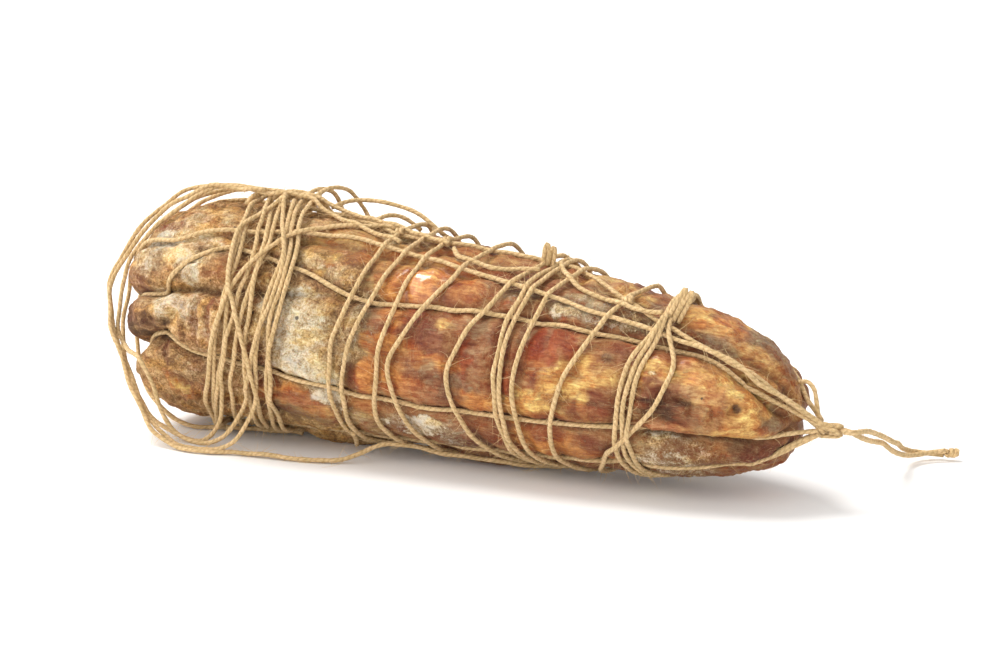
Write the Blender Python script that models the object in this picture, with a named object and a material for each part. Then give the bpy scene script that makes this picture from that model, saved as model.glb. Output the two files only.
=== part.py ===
"""A coppa: cured pork neck in its casing, bound with twine and lying on its side.

The meat lies along X, its blunt butt end at the left and its tapered tip at the
right.  A place on it is given by its station, which is its distance along X from
the butt, and by its clock angle: 0 is the front, 90 the top, 180 the back and -90
the underside.  Stations, radii and heights are in millimetres until a point is
made, which is in metres.
"""

from math import acos, asin, atan2, cos, degrees, exp, hypot, pi, radians, sin

import bpy
import bmesh
from mathutils import Vector
from mathutils.bvhtree import BVHTree

MM = 0.001

# ---------------------------------------------------------------- driving sizes
ORIGIN_STATION = 150.5      # the station that stands over the origin
TWINE_RADIUS = 1.3
GAP = 0.32                  # between solids that touch
TABLE_CLEARANCE = 0.15      # the lowest twine above the table

# The meat's outline: station, radius and height of the centre line.
MEAT_OUTLINE = (
    (0, 0, 42), (0.8, 18, 42), (3, 29.5, 42.8), (8.5, 38, 44.6), (20, 43.4, 47.4),
    (44, 46, 50), (77, 45.2, 49.2), (115, 43.6, 47.6), (153, 41.4, 45.4),
    (191, 39.2, 43.2), (220, 36.6, 41), (244, 33.8, 39.8), (268, 29.2, 37.8),
    (284, 23, 36), (293, 15.5, 34.5), (297, 7.5, 33.5), (298, 0, 33),
)
MEAT_COLUMNS = 30
MEAT_RINGS = 54

# The casing bulges down to the table between the hoops: station, half-length, half-angle.
FEET = ((100, 11, 26), (168, 11, 26))
FOOT_DEPTH = 5.2

# The butt's lower half is set back from its upper half, fading out along the meat.
LOWER_LOBE_STEP = 7.0
LOWER_LOBE_REACH = 45.0
LOWER_LOBE_EDGE = 3.0       # the angle above the front where the step begins
LOWER_LOBE_BLEND = 16.0     # and over how many degrees it grows

# Lengthwise runs of twine, each in its own furrow: clock angles at these stations.
RUN_STATIONS = (0, 30, 45, 60, 95, 125, 160, 200, 240, 275, 300)
RUN_ANGLES = {
    "ridge": (97, 98, 98, 96, 90, 80, 76, 80, 71, 58, 60),
    "brow": (58, 50, 54, 57, 61, 62, 61, 58, 54, 49, 30),
    "front": (28, 22, 38, 48, 42, 32, 36, 40, 44, 43, 10),
    "flank": (-14, -4, -12, -16, -19, -24, -25, -24, -20, -22, -30),
    "keel": (-52, -62, -65, -66, -67, -66, -64, -60, -54, -56, -62),
    "back_low": (-130, -124, -121, -120, -121, -124, -122, -126, -128, -124, -112),
    "back": (188, 184, 188, 190, 187, 180, 184, 178, 176, 184, 196),
    "back_high": (138, 142, 137, 134, 136, 130, 136, 132, 130, 128, 122),
}
# Folds of the casing with no twine in them, given in the same way.
FOLD_ANGLES = {
    "front_fold": (28, 21, 22, 23, 27, 31, 34, 38, 42, 44, 30),
    "back_fold": (160, 163, 164, 166, 168, 170, 170, 168, 166, 164, 160),
}
# How deep each furrow is at the butt, at a third, at the middle and towards the tip.
FURROW_STATIONS = (0, 35, 95, 180, 240, 300)
FURROW_DEPTHS = {
    "ridge": (2.5, 2.0, 2.0, 2.0, 2.2, 2.2), "brow": (2.5, 2.0, 2.0, 2.0, 1.6, 1.6),
    "front": (1.0, 1.5, 2.2, 2.4, 4.2, 4.4), "flank": (8.0, 7.0, 3.2, 3.0, 3.6, 4.2),
    "keel": (3.0, 3.0, 2.0, 2.0, 2.2, 2.2), "back_low": (5.0, 4.0, 2.4, 2.4, 2.6, 2.6),
    "back": (3.0, 2.6, 2.4, 2.4, 3.0, 3.4), "back_high": (4.0, 3.0, 2.2, 2.2, 2.8, 2.8),
    "front_fold": (7.0, 6.5, 2.0, 0.0, 0.0, 0.0), "back_fold": (6.0, 5.0, 1.5, 0.0, 0.0, 0.0),
}
FURROW_WIDTH = 5.0
FULL_RELIEF_RADIUS = 14.0   # nearer the axis than this, at the two ends, relief fades out
RUN_START = 8.0             # a run starts this far from the middle of the butt
RUN_END = 7.0               # and leaves the casing this far short of the tip
RUN_SPACING = 7.0           # between the points that it follows
RUN_TO_KNOT = 0.35          # the share of the way to the tip's knot where it stops

# Hoops: the station where each crosses the underside, low front, front, high front,
# top and back, and how far it stands off the meat behind the top.
CLOCK = (-90, -45, 0, 45, 90, 180)
HOOPS = {
    "hoop_01": ((117, 113, 116, 124, 126, 121), 2.5),
    "hoop_02": ((122, 117, 123, 133, 137, 130), 3.0),
    "hoop_03": ((142, 132, 137, 143, 147, 143), 2.0),
    "hoop_04": ((154, 147, 142, 158, 166, 162), 3.0),
    "hoop_05": ((187, 175, 167, 181, 190, 186), 3.0),
    "hoop_06": ((194, 188, 187, 190, 194, 191), 1.5),
    "hoop_07": ((199, 192, 191, 194, 198, 196), 2.5),
    "hoop_08": ((205, 196, 195, 200, 205, 203), 1.5),
    "hoop_09": ((214, 207, 213, 225, 232, 226), 1.5),
    "hoop_10": ((240, 234, 237, 242, 250, 245), 1.0),
    "hoop_11": ((245, 239, 242, 247, 255, 250), 1.5),
    "hoop_12": ((220, 227, 251, 258, 260, 238), 1.0),
}
# The bundle of turns round the thick end, in the same way.
BUNDLE = {
    "turn_01": ((38, 50, 64, 70, 56, 48), 2),
    "turn_02": ((43, 55, 68, 66, 59, 52), 2),
    "turn_03": ((47, 59, 71, 74, 62, 56), 3),
    "turn_04": ((51, 64, 74, 77, 65, 60), 2),
    "turn_05": ((56, 72, 81, 84, 68, 64), 3),
    "turn_06": ((61, 68, 77, 80, 71, 68), 3),
    "turn_07": ((66, 76, 84, 87, 74, 73), 6),
    "turn_08": ((72, 80, 88, 91, 77, 82), 9),
    "turn_09": ((78, 84, 92, 94, 81, 91), 11),
}
SLACK_ANGLE = 112           # where a hoop stands off the most
SLACK_SPREAD = 30           # and how many degrees to each side it does so
HANG_ANGLE = -58            # the bundle's turns hang off the meat here
HANG_SPREAD = 20
HANG = 1.5

# Slack turns that slipped over the butt, as points of station, depth and height.
BUTT_LOOPS = {
    "butt_loop_1": (
        (66, 0, 102.5), (54, 0, 102.6), (40, -2, 103.5), (23, -6, 101), (14, -10, 95),
        (5.5, -14, 86.5), (-3, -18, 73), (-8, -20, 65), (-8, -23, 58.5), (-3.5, -27, 49.5),
        (1, -31, 43), (6.5, -34, 34), (12.5, -37, 26), (19, -40, 18.5), (26.5, -43, 10),
        (34, -45, 5), (43, -44, 1.5), (52, -44, 1.5), (59, -39, 1.5), (60, -30, 1.5),
        (57, -22, 1.5),
    ),
    "butt_loop_2": (
        (64, -5, 102), (51, -5, 103.5), (34, -8, 102), (23, -15, 93.5), (10.5, -20, 82),
        (4, -22, 73), (1.5, -24, 63), (0.5, -27, 52), (1, -29, 43.5), (6, -32, 38),
        (14, -39, 37), (23, -45, 36.5), (28, -47, 32), (31, -45, 23), (32, -40, 13),
        (37, -33, 6), (43, -25, 3),
    ),
    "butt_loop_3": (
        (62, 4, 100), (47, 3, 102), (29, 2, 99), (14, -2, 91), (4, -6, 80),
        (-3, -10, 68), (-5, -13, 55), (-5, -17, 44), (-2, -22, 34), (4, -27, 25),
        (13, -33, 16), (24, -36, 9), (35, -33, 4), (45, -26, 2.5),
    ),
    "butt_loop_4": (
        (62, 14, 98), (46, 15, 100), (27, 14, 97), (11, 11, 88), (0, 7, 76),
        (-6, 3, 62), (-8, -2, 48), (-6, -7, 36), (-1, -12, 24), (8, -17, 13),
        (19, -19, 5), (30, -18, 1.8), (40, -15, 1.8),
    ),
    "butt_loop_5": (
        (64, 26, 93), (48, 28, 95), (30, 27, 92), (15, 25, 84), (4, 23, 73),
        (-2, 21, 60), (-3, 19, 46), (0, 18, 33), (7, 18, 21), (17, 17, 11),
        (28, 14, 4), (38, 10, 1.8),
    ),
}
# A strand that lies on the table along the front and goes back under the meat.
TABLE_STRAND = (
    (56, -48, 1.5), (66, -45, 1.5), (78, -42.5, 1.5), (93, -41, 1.5), (108, -37, 1.5),
    (118, -30, 1.5), (126, -20, 1.5), (129, -8, 1.5),
)

# Narrow doubled loops that stand up where hoops are hitched: station, angle, height, width.
STANDING_LOOPS = {"standing_loop_1": (192, 84, 9, 5.5), "standing_loop_2": (254, 68, 15, 6)}

BUTT_KNOT = ((-3.4, 0, 42), (2.4, 6.4, 6.0))      # middle and radii
TIP_KNOT = ((306, 0, 30.5), (4.6, 5.4, 5.4))

# The tail: two strands side by side from the tip's knot down to the table.
TAIL_ROUTE = (
    (312.6, 0, 30.5), (315.6, 1.6, 30), (317, 7, 28.6), (317, 15, 26), (316.4, 27, 22),
    (317.4, 38, 18), (317, 50, 13), (316, 61, 8.8), (316, 70, 5.6), (318, 77, 3.9),
    (322.5, 82, 3.3), (327, 84.5, 3.2),
)
TAIL_SPREAD = 1.75          # half the distance between the two strands
TAIL_TWIST_START = 0.45     # the share of the tail that lies untwisted
TAIL_TWIST = 225.0          # degrees that the strands turn round each other
TAIL_STEP = 4.5             # spacing of their points
TAIL_KNOB = ((332, 86.8, 3.4), (4.4, 3.1, 3.0))

STRAND_STEP = 13.0          # spacing of a strand's points
LOOP_STEP = 3.5             # and of a small loop's
SAMPLES = 10                # places between two points where a strand's clearance is tested
SETTLE_ROUNDS = 60
HOOP_STEP = 10              # degrees between the points that a hoop follows
LOOP_POINTS = 12            # round a small standing loop
SPINE_START, SPINE_END = 38, 272    # outwards is straight off the centre line between these
OUTLINE_STEPS = 40          # fine steps between two points of the outline
NORMAL_STEPS = 12           # steps to each side from which its direction is taken


# ---------------------------------------------------------------- curves and tables
def blend_between(table, keys, at):
    """Read a table as a smooth curve: Catmull-Rom between its keys."""
    last = len(keys) - 1
    if at <= keys[0]:
        return table[0]
    if at >= keys[last]:
        return table[last]
    i = max(k for k in range(last) if keys[k] <= at)
    span = keys[i + 1] - keys[i]
    t = (at - keys[i]) / span

    def slope(k):
        low, high = max(k - 1, 0), min(k + 1, last)
        return (table[high] - table[low]) / (keys[high] - keys[low]) * span

    a, b, m, n = table[i], table[i + 1], slope(i), slope(i + 1)
    return ((2 * t**3 - 3 * t**2 + 1) * a + (t**3 - 2 * t**2 + t) * m
            + (3 * t**2 - 2 * t**3) * b + (t**3 - t**2) * n)


def bump(distance, half_width):
    """A smooth hill: 1 in the middle, 0 from half_width on."""
    share = abs(distance) / half_width
    return 0.0 if share >= 1 else (1 - share * share) ** 2


def angle_between(a, b):
    return (a - b + 180) % 360 - 180


def outline_samples():
    """The outline as a fine line of (length so far, station, radius, height)."""
    keys = list(range(len(MEAT_OUTLINE)))
    columns = list(zip(*MEAT_OUTLINE))
    samples = [(0.0, *MEAT_OUTLINE[0])]
    for k in range(1, (len(keys) - 1) * OUTLINE_STEPS + 1):
        x, r, z = (blend_between(c, keys, k / OUTLINE_STEPS) for c in columns)
        x = min(max(x, 0.0), MEAT_OUTLINE[-1][0])
        r = max(r, 0.0)
        length = samples[-1][0] + hypot(x - samples[-1][1], r - samples[-1][2])
        samples.append((length, x, r, z))
    return samples


OUTLINE = outline_samples()
OUTLINE_LENGTH = OUTLINE[-1][0]


def read_outline(value, column):
    """Station, radius, height and outward normal where a column of OUTLINE has a value."""
    k = 1
    while k < len(OUTLINE) - 1 and OUTLINE[k][column] < value:
        k += 1
    a, b = OUTLINE[k - 1], OUTLINE[k]
    span = b[column] - a[column]
    t = min(max((value - a[column]) / span, 0.0), 1.0) if span > 1e-9 else 0.0
    x, r, z = (a[i] + (b[i] - a[i]) * t for i in (1, 2, 3))
    before = OUTLINE[max(k - NORMAL_STEPS, 0)]
    after = OUTLINE[min(k + NORMAL_STEPS, len(OUTLINE) - 1)]
    along = hypot(after[1] - before[1], after[2] - before[2])
    normal = (-(after[2] - before[2]) / along, (after[1] - before[1]) / along)
    return x, r, z, normal


def run_angle(run, station):
    return blend_between(RUN_ANGLES[run], RUN_STATIONS, station)


def meat_relief(station, radius, angle):
    """How far the casing stands out of its outline: furrows are below 0, feet above."""
    relief = 0.0
    for name, angles in (RUN_ANGLES | FOLD_ANGLES).items():
        depth = blend_between(FURROW_DEPTHS[name], FURROW_STATIONS, station)
        off = angle_between(angle, blend_between(angles, RUN_STATIONS, station))
        relief -= depth * exp(-((radians(off) * radius / FURROW_WIDTH) ** 2))
    relief *= min(radius / FULL_RELIEF_RADIUS, 1.0)
    for foot, half_length, half_angle in FEET:
        relief += (FOOT_DEPTH * bump(station - foot, half_length)
                   * bump(angle_between(angle, -90), half_angle))
    return relief


def set_back(station, radius, angle):
    """How far the butt's lower half is pushed in along X."""
    slope = degrees(asin(sin(radians(angle))))
    below = min(max((LOWER_LOBE_EDGE - slope) / LOWER_LOBE_BLEND, 0.0), 1.0)
    fade = bump(station, LOWER_LOBE_REACH) * min(radius / FULL_RELIEF_RADIUS, 1.0)
    return LOWER_LOBE_STEP * below * below * (3 - 2 * below) * fade


def place(station, depth, height):
    return Vector(((station - ORIGIN_STATION) * MM, depth * MM, height * MM))


def skin_point(length, angle, off):
    """A point at a length along the outline from the butt's middle, off the casing."""
    x, r, z, (nx, nr) = read_outline(length, 0)
    rise = meat_relief(x, r, angle) + off
    reach = max(r + nr * rise, 0.0)
    turn = radians(angle)
    x += nx * rise + set_back(x, r, angle)
    return place(x, -reach * cos(turn), z + reach * sin(turn))


def hoop_point(station, angle, off):
    """A point off the casing's outline at a station, with no relief."""
    _, r, z, _ = read_outline(station, 1)
    turn = radians(angle)
    return place(station, -(r + off) * cos(turn), z + (r + off) * sin(turn))


# ---------------------------------------------------------------- scene and materials
def clear_scene():
    for old in list(bpy.data.objects):
        bpy.data.objects.remove(old, do_unlink=True)


def make_material(name, colour, roughness):
    material = bpy.data.materials.new(name)
    material.use_nodes = True
    shader = material.node_tree.nodes["Principled BSDF"]
    shader.inputs["Base Color"].default_value = (*colour, 1.0)
    shader.inputs["Roughness"].default_value = roughness
    shader.inputs["Metallic"].default_value = 0.0
    return material


def add_object(name, data, material, collection):
    made = bpy.data.objects.new(name, data)
    data.materials.append(material)
    collection.objects.link(made)
    return made


# ---------------------------------------------------------------- the meat
def make_meat(material, collection):
    """A sphere drawn out to the meat's outline, furrowed, and flat where it rests."""
    bm = bmesh.new()
    bmesh.ops.create_uvsphere(bm, u_segments=MEAT_COLUMNS, v_segments=MEAT_RINGS, radius=1.0)
    for vert in bm.verts:
        share = acos(max(-1.0, min(1.0, -vert.co.z))) / pi
        angle = degrees(atan2(vert.co.y, -vert.co.x))
        vert.co = skin_point(share * OUTLINE_LENGTH, angle, 0.0)
    bmesh.ops.recalc_face_normals(bm, faces=bm.faces[:])
    every = bm.verts[:] + bm.edges[:] + bm.faces[:]
    cut = bmesh.ops.bisect_plane(bm, geom=every, dist=1e-6, plane_co=(0, 0, 0),
                                 plane_no=(0, 0, -1), clear_outer=True)
    rims = [g for g in cut["geom_cut"] if isinstance(g, bmesh.types.BMEdge)]
    bmesh.ops.holes_fill(bm, edges=rims, sides=0)
    bmesh.ops.dissolve_degenerate(bm, dist=2e-5, edges=bm.edges[:])
    bmesh.ops.triangulate(bm, faces=bm.faces[:])
    bmesh.ops.recalc_face_normals(bm, faces=bm.faces[:])
    mesh = bpy.data.meshes.new("coppa")
    bm.to_mesh(mesh)
    bm.free()
    mesh.shade_smooth()
    return add_object("coppa", mesh, material, collection)


# ---------------------------------------------------------------- the twine
def even_points(route, step, cyclic):
    """Points at even steps on a smooth curve through a route."""
    route = list(route)
    if cyclic:
        route = route[-2:] + route + route[:3]
    keys = list(range(len(route)))
    columns = list(zip(*route))
    first, last = (2, len(route) - 3) if cyclic else (0, len(route) - 1)
    steps = OUTLINE_STEPS // 2
    fine = [Vector([blend_between(c, keys, first + k / steps) for c in columns])
            for k in range((last - first) * steps + 1)]
    lengths = [0.0]
    for a, b in zip(fine, fine[1:]):
        lengths.append(lengths[-1] + (b - a).length)
    count = max(2, round(lengths[-1] / step))
    points, k = [], 0
    for i in range(count if cyclic else count + 1):
        want = lengths[-1] * i / count
        while k < len(fine) - 2 and lengths[k + 1] < want:
            k += 1
        t = (want - lengths[k]) / (lengths[k + 1] - lengths[k])
        points.append(fine[k].lerp(fine[k + 1], min(t, 1.0)))
    return points


def outward(point):
    """The way off the meat from a point on it."""
    station = min(max(point.x / MM + ORIGIN_STATION, SPINE_START), SPINE_END)
    _, _, height, _ = read_outline(station, 1)
    return (point - place(station, 0, height)).normalized()


class Layers:
    """Everything laid so far, which the next strand has to clear."""

    def __init__(self):
        self.verts, self.faces, self.tree = [], [], None

    def add(self, made):
        bpy.context.view_layer.update()
        seen = made.evaluated_get(bpy.context.evaluated_depsgraph_get())
        mesh = seen.to_mesh()
        start = len(self.verts)
        self.verts += [made.matrix_world @ v.co for v in mesh.vertices]
        self.faces += [[start + v for v in p.vertices] for p in mesh.polygons]
        seen.to_mesh_clear()
        self.tree = BVHTree.FromPolygons(self.verts, self.faces)

    def shortfall(self, point, need):
        near, normal, _, distance = self.tree.find_nearest(point)
        if (point - near).dot(normal) < 0:
            return need + distance
        return need - distance


def settle(points, cyclic, layers):
    """Push a strand outwards, off all that it crosses, and up off the table."""
    need = (TWINE_RADIUS + GAP) * MM
    floor = (TWINE_RADIUS + TABLE_CLEARANCE) * MM
    count = len(points)
    for _ in range(SETTLE_ROUNDS):
        worst = 0.0
        for i in range(count if cyclic else count - 1):
            j = (i + 1) % count
            for k in range(SAMPLES + 1):
                t = k / SAMPLES
                at = points[i].lerp(points[j], t)
                short = layers.shortfall(at, need)
                if short > 1e-6:
                    worst = max(worst, short)
                    way = outward(at)
                    points[i] += way * short * (1 - t)
                    points[j] += way * short * t
        for point in points:
            point.z = max(point.z, floor)
        if worst < 1e-6:
            break
    return points


def make_strand(name, points, cyclic, material, collection, radius=TWINE_RADIUS):
    """A six-sided tube along the points, with filled ends unless it is a ring."""
    curve = bpy.data.curves.new(name, "CURVE")
    curve.dimensions = "3D"
    curve.bevel_depth = radius * MM
    curve.bevel_resolution = 1
    curve.use_fill_caps = not cyclic
    spline = curve.splines.new("POLY")
    spline.points.add(len(points) - 1)
    for target, point in zip(spline.points, points):
        target.co = (*point, 1.0)
    spline.use_cyclic_u = cyclic
    spline.use_smooth = True
    return add_object(name, curve, material, collection)


def lay_strand(name, route, cyclic, layers, material, collection, step=STRAND_STEP):
    points = settle(even_points(route, step * MM, cyclic), cyclic, layers)
    made = make_strand(name, points, cyclic, material, collection)
    layers.add(made)
    return made


def run_route(run):
    """A lengthwise run, from the butt's knot round to the tip's."""
    route = []
    length = RUN_START
    while length < OUTLINE_LENGTH - RUN_END:
        x, _, _, _ = read_outline(length, 0)
        route.append(skin_point(length, run_angle(run, x), TWINE_RADIUS + GAP))
        length += RUN_SPACING
    knot = place(*TIP_KNOT[0])
    last = route[-1]
    route.append(last.lerp(knot, RUN_TO_KNOT) + outward(last) * TWINE_RADIUS * 1.5 * MM)
    return route


def hoop_route(stations, slack, hang):
    """A hoop once round the meat, read from its stations round the clock."""
    keys = [a - 360 for a in CLOCK[-2:]] + list(CLOCK) + [a + 360 for a in CLOCK[:2]]
    table = list(stations[-2:]) + list(stations) + list(stations[:2])
    route = []
    for angle in range(-90, 270, HOOP_STEP):
        station = blend_between(table, keys, angle)
        off = TWINE_RADIUS + GAP
        off += slack * bump(angle_between(angle, SLACK_ANGLE), SLACK_SPREAD)
        off += hang * bump(angle_between(angle, HANG_ANGLE), HANG_SPREAD)
        route.append(hoop_point(station, angle, off))
    return route


def standing_loop_route(station, angle, height, width):
    """A narrow ring on end, its foot on the meat and its flat side along X."""
    foot = hoop_point(station, angle, TWINE_RADIUS + GAP + height / 2)
    up = outward(foot)
    route = []
    for k in range(LOOP_POINTS):
        turn = 2 * pi * k / LOOP_POINTS
        route.append(foot + Vector((1, 0, 0)) * cos(turn) * width / 2 * MM
                     + up * sin(turn) * height / 2 * MM)
    return route


def make_knot(name, middle, radii, material, collection):
    """A knot as a ball with three rounded turns of twine showing in it."""
    bm = bmesh.new()
    bmesh.ops.create_uvsphere(bm, u_segments=12, v_segments=10, radius=1.0)
    for vert in bm.verts:
        slant = vert.co.z + 0.5 * vert.co.y
        swell = 1.0 - 0.10 * abs(sin(slant * 2.4))
        vert.co = Vector([c * r * swell * MM for c, r in zip(vert.co, radii)])
        vert.co += place(*middle)
    mesh = bpy.data.meshes.new(name)
    bm.to_mesh(mesh)
    bm.free()
    mesh.shade_smooth()
    return add_object(name, mesh, material, collection)


def tail_strands():
    """The tail's two strands: side by side at first, then twisted round each other."""
    middle = even_points([place(*p) for p in TAIL_ROUTE], TAIL_STEP * MM, False)
    sides = ([], [])
    last = len(middle) - 1
    for k, point in enumerate(middle):
        ahead = (middle[min(k + 1, last)] - middle[max(k - 1, 0)]).normalized()
        across = ahead.cross(Vector((0, 0, 1))).normalized()
        above = across.cross(ahead)
        twisted = max(0.0, (k / last - TAIL_TWIST_START) / (1 - TAIL_TWIST_START))
        turn = radians(TAIL_TWIST * twisted)
        swing = across * cos(turn) + above * sin(turn)
        for side, sign in zip(sides, (1, -1)):
            side.append(point + swing * sign * TAIL_SPREAD * MM)
    floor = (TWINE_RADIUS + TABLE_CLEARANCE) * MM
    for side in sides:
        for point in side:
            point.z = max(point.z, floor)
    return sides


# ---------------------------------------------------------------- the whole
def main():
    clear_scene()
    parts = bpy.data.collections.new("coppa")
    bpy.context.scene.collection.children.link(parts)
    casing = make_material("casing", (0.36, 0.19, 0.09), 0.6)
    twine = make_material("twine", (0.56, 0.40, 0.21), 0.85)

    layers = Layers()
    layers.add(make_meat(casing, parts))
    for name, (middle, radii) in (("knot_butt", BUTT_KNOT), ("knot_tip", TIP_KNOT)):
        layers.add(make_knot(name, middle, radii, twine, parts))
    for run in RUN_ANGLES:
        lay_strand("run_" + run, run_route(run), False, layers, twine, parts)
    for name, (stations, slack) in HOOPS.items():
        lay_strand(name, hoop_route(stations, slack, 0.0), True, layers, twine, parts)
    for name, (stations, slack) in BUNDLE.items():
        lay_strand(name, hoop_route(stations, slack, HANG), True, layers, twine, parts)
    for name, route in BUTT_LOOPS.items():
        points = [place(*point) for point in route]
        lay_strand(name, points, False, layers, twine, parts)
    table_points = [place(*point) for point in TABLE_STRAND]
    lay_strand("table_strand", table_points, False, layers, twine, parts)
    for name, sizes in STANDING_LOOPS.items():
        lay_strand(name, standing_loop_route(*sizes), True, layers, twine, parts, LOOP_STEP)

    for name, points in zip(("tail_strand_1", "tail_strand_2"), tail_strands()):
        make_strand(name, points, False, twine, parts)
    make_knot("tail_knob", *TAIL_KNOB, twine, parts)


main()
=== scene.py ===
import random
from math import cos, pi, radians, sin, tau

import bmesh
import bpy
import numpy as np
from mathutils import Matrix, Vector, noise
from mathutils.bvhtree import BVHTree
from mathutils.kdtree import KDTree


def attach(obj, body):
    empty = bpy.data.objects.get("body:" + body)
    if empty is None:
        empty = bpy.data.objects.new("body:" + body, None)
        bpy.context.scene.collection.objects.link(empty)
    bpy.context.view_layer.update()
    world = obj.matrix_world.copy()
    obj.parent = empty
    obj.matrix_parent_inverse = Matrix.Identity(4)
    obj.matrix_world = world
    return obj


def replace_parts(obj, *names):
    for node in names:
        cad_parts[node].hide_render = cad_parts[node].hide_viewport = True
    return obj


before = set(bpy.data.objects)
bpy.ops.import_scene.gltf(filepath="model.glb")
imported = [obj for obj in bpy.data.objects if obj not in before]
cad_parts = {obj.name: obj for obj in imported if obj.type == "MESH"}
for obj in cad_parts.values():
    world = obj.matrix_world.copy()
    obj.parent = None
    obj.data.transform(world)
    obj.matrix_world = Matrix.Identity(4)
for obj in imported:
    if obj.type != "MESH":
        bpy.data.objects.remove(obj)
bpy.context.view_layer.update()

# The coppa lies along X: a place on it is a station, in mm from its blunt butt, and a clock
# angle, which is 0 at the front, 90 on top, 180 behind and -90 underneath.
mm = 0.001
originStation = 150.5

cameraSet = {
    "azimuth": 28.0, "elevation": 12.52, "distance": 0.944, "aim": (0.0179, 0.0, 0.0527),
    "lens": 85.0, "sensor": 36.0,
}


def addObject(name, data):
    made = bpy.data.objects.new(name, data)
    bpy.context.scene.collection.objects.link(made)
    return made


def makeCamera():
    turn, rise = radians(cameraSet["azimuth"]), radians(cameraSet["elevation"])
    away = Vector((sin(turn) * cos(rise), -cos(turn) * cos(rise), sin(rise)))
    data = bpy.data.cameras.new("camera")
    data.lens, data.sensor_width = cameraSet["lens"], cameraSet["sensor"]
    camera = addObject("camera", data)
    camera.location = Vector(cameraSet["aim"]) + away * cameraSet["distance"]
    camera.rotation_euler = away.to_track_quat("Z", "Y").to_euler()
    bpy.context.scene.camera = camera


makeCamera()
print("camera set")


# reading tables and placing points

def smoothRead(keys, values, at):  # a smooth curve through the values, read at any places
    keys, values = np.asarray(keys, float), np.asarray(values, float)
    at = np.clip(at, keys[0], keys[-1])
    last = len(keys) - 1
    i = np.clip(np.searchsorted(keys, at, side="right") - 1, 0, last - 1)
    before, after = np.maximum(i - 1, 0), np.minimum(i + 2, last)
    span = keys[i + 1] - keys[i]
    t = (at - keys[i]) / span
    m = (values[i + 1] - values[before]) / (keys[i + 1] - keys[before]) * span
    n = (values[after] - values[i]) / (keys[after] - keys[i]) * span
    return ((2 * t**3 - 3 * t**2 + 1) * values[i] + (t**3 - 2 * t**2 + t) * m
            + (3 * t**2 - 2 * t**3) * values[i + 1] + (t**3 - t**2) * n)


def hill(distance, halfWidth):  # 1 in the middle, 0 from halfWidth on
    share = np.minimum(np.abs(distance) / halfWidth, 1.0)
    return (1 - share * share) ** 2


def ramp(value, low, high):  # 0 below low, 1 above high, smooth between
    t = np.clip((value - low) / (high - low), 0.0, 1.0)
    return t * t * (3 - 2 * t)


def angleApart(a, b):
    return (a - b + 180) % 360 - 180


def hillRound(angle, middle, halfWidth):  # a hill round the clock
    return hill(angleApart(angle, middle), halfWidth)


def arcAcross(angle, middle, radius):  # mm round the meat from a clock angle
    return np.radians(angleApart(angle, middle)) * radius


def fractal(points, size, octaves, seed, height=1.0):  # cloudy noise, size in mm
    shift = Vector((seed * 17.3, seed * -9.1, seed * 5.7))
    heights = [noise.fractal(Vector(p) / size + shift, 1.0, 2.0, octaves) for p in points]
    return np.array(heights) * height


def creased(points, stretch, size, seed):  # 1 along thin meandering lines, 0 elsewhere
    return np.maximum(0, 1 - np.abs(fractal(points * stretch, size, 2, seed)) * 5.0) ** 1.5


# the meat's form

meatForm = {
    # station, radius and height of the centre line
    "outline": (
        (0, 0, 42), (0.8, 18, 42), (3, 29.5, 42.8), (8.5, 38, 44.6), (20, 43.4, 47.4),
        (44, 46, 50), (77, 45.2, 49.2), (115, 43.6, 47.6), (153, 41.4, 45.4),
        (191, 39.2, 43.2), (220, 36.6, 41), (244, 33.8, 39.8), (268, 29.2, 37.8),
        (284, 23, 36), (293, 15.5, 34.5), (297, 7.5, 33.5), (298, 0, 33),
    ),
    "aroundSteps": 296, "alongSteps": 336,
    "feet": ((100, 32, 20), (168, 32, 20)), "footDepth": 5.0,
    "lobeStep": 7.0, "lobeReach": 45.0, "lobeEdge": 3.0, "lobeBlend": 16.0,
    "fullReliefRadius": 14.0,
}
runStations = (0, 30, 45, 60, 95, 125, 160, 200, 240, 275, 300)
runAngles = {
    "ridge": (97, 98, 98, 96, 90, 80, 76, 80, 71, 58, 60),
    "brow": (58, 50, 54, 57, 61, 62, 61, 58, 54, 49, 30),
    "front": (28, 22, 38, 48, 42, 32, 36, 40, 44, 43, 10),
    "flank": (-14, -4, -12, -16, -19, -24, -25, -24, -20, -22, -30),
    "keel": (-52, -62, -65, -66, -67, -66, -64, -60, -54, -56, -62),
    "back_low": (-130, -124, -121, -120, -121, -124, -122, -126, -128, -124, -112),
    "back": (188, 184, 188, 190, 187, 180, 184, 178, 176, 184, 196),
    "back_high": (138, 142, 137, 134, 136, 130, 136, 132, 130, 128, 122),
}
foldAngles = {
    "front_fold": (28, 21, 22, 23, 27, 31, 34, 38, 42, 44, 30),
    "back_fold": (160, 163, 164, 166, 168, 170, 170, 168, 166, 164, 160),
}
furrowStations = (0, 35, 95, 180, 240, 300)
furrowDepths = {
    "ridge": (2.5, 2.0, 2.0, 2.0, 2.2, 2.2), "brow": (2.5, 2.0, 2.0, 2.0, 1.6, 1.6),
    "front": (1.0, 1.5, 2.2, 2.4, 4.2, 4.4), "flank": (8.0, 7.0, 3.2, 3.0, 3.6, 4.2),
    "keel": (3.0, 3.0, 2.0, 2.0, 2.2, 2.2), "back_low": (5.0, 4.0, 2.4, 2.4, 2.6, 2.6),
    "back": (3.0, 2.6, 2.4, 2.4, 3.0, 3.4), "back_high": (4.0, 3.0, 2.2, 2.2, 2.8, 2.8),
    "front_fold": (7.0, 6.5, 2.0, 0.0, 0.0, 0.0), "back_fold": (6.0, 5.0, 1.5, 0.0, 0.0, 0.0),
}
furrow = {"width": 5.0, "share": 0.8, "creaseWidth": 1.7, "creaseShare": 0.45, "fullCrease": 3.0}

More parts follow.
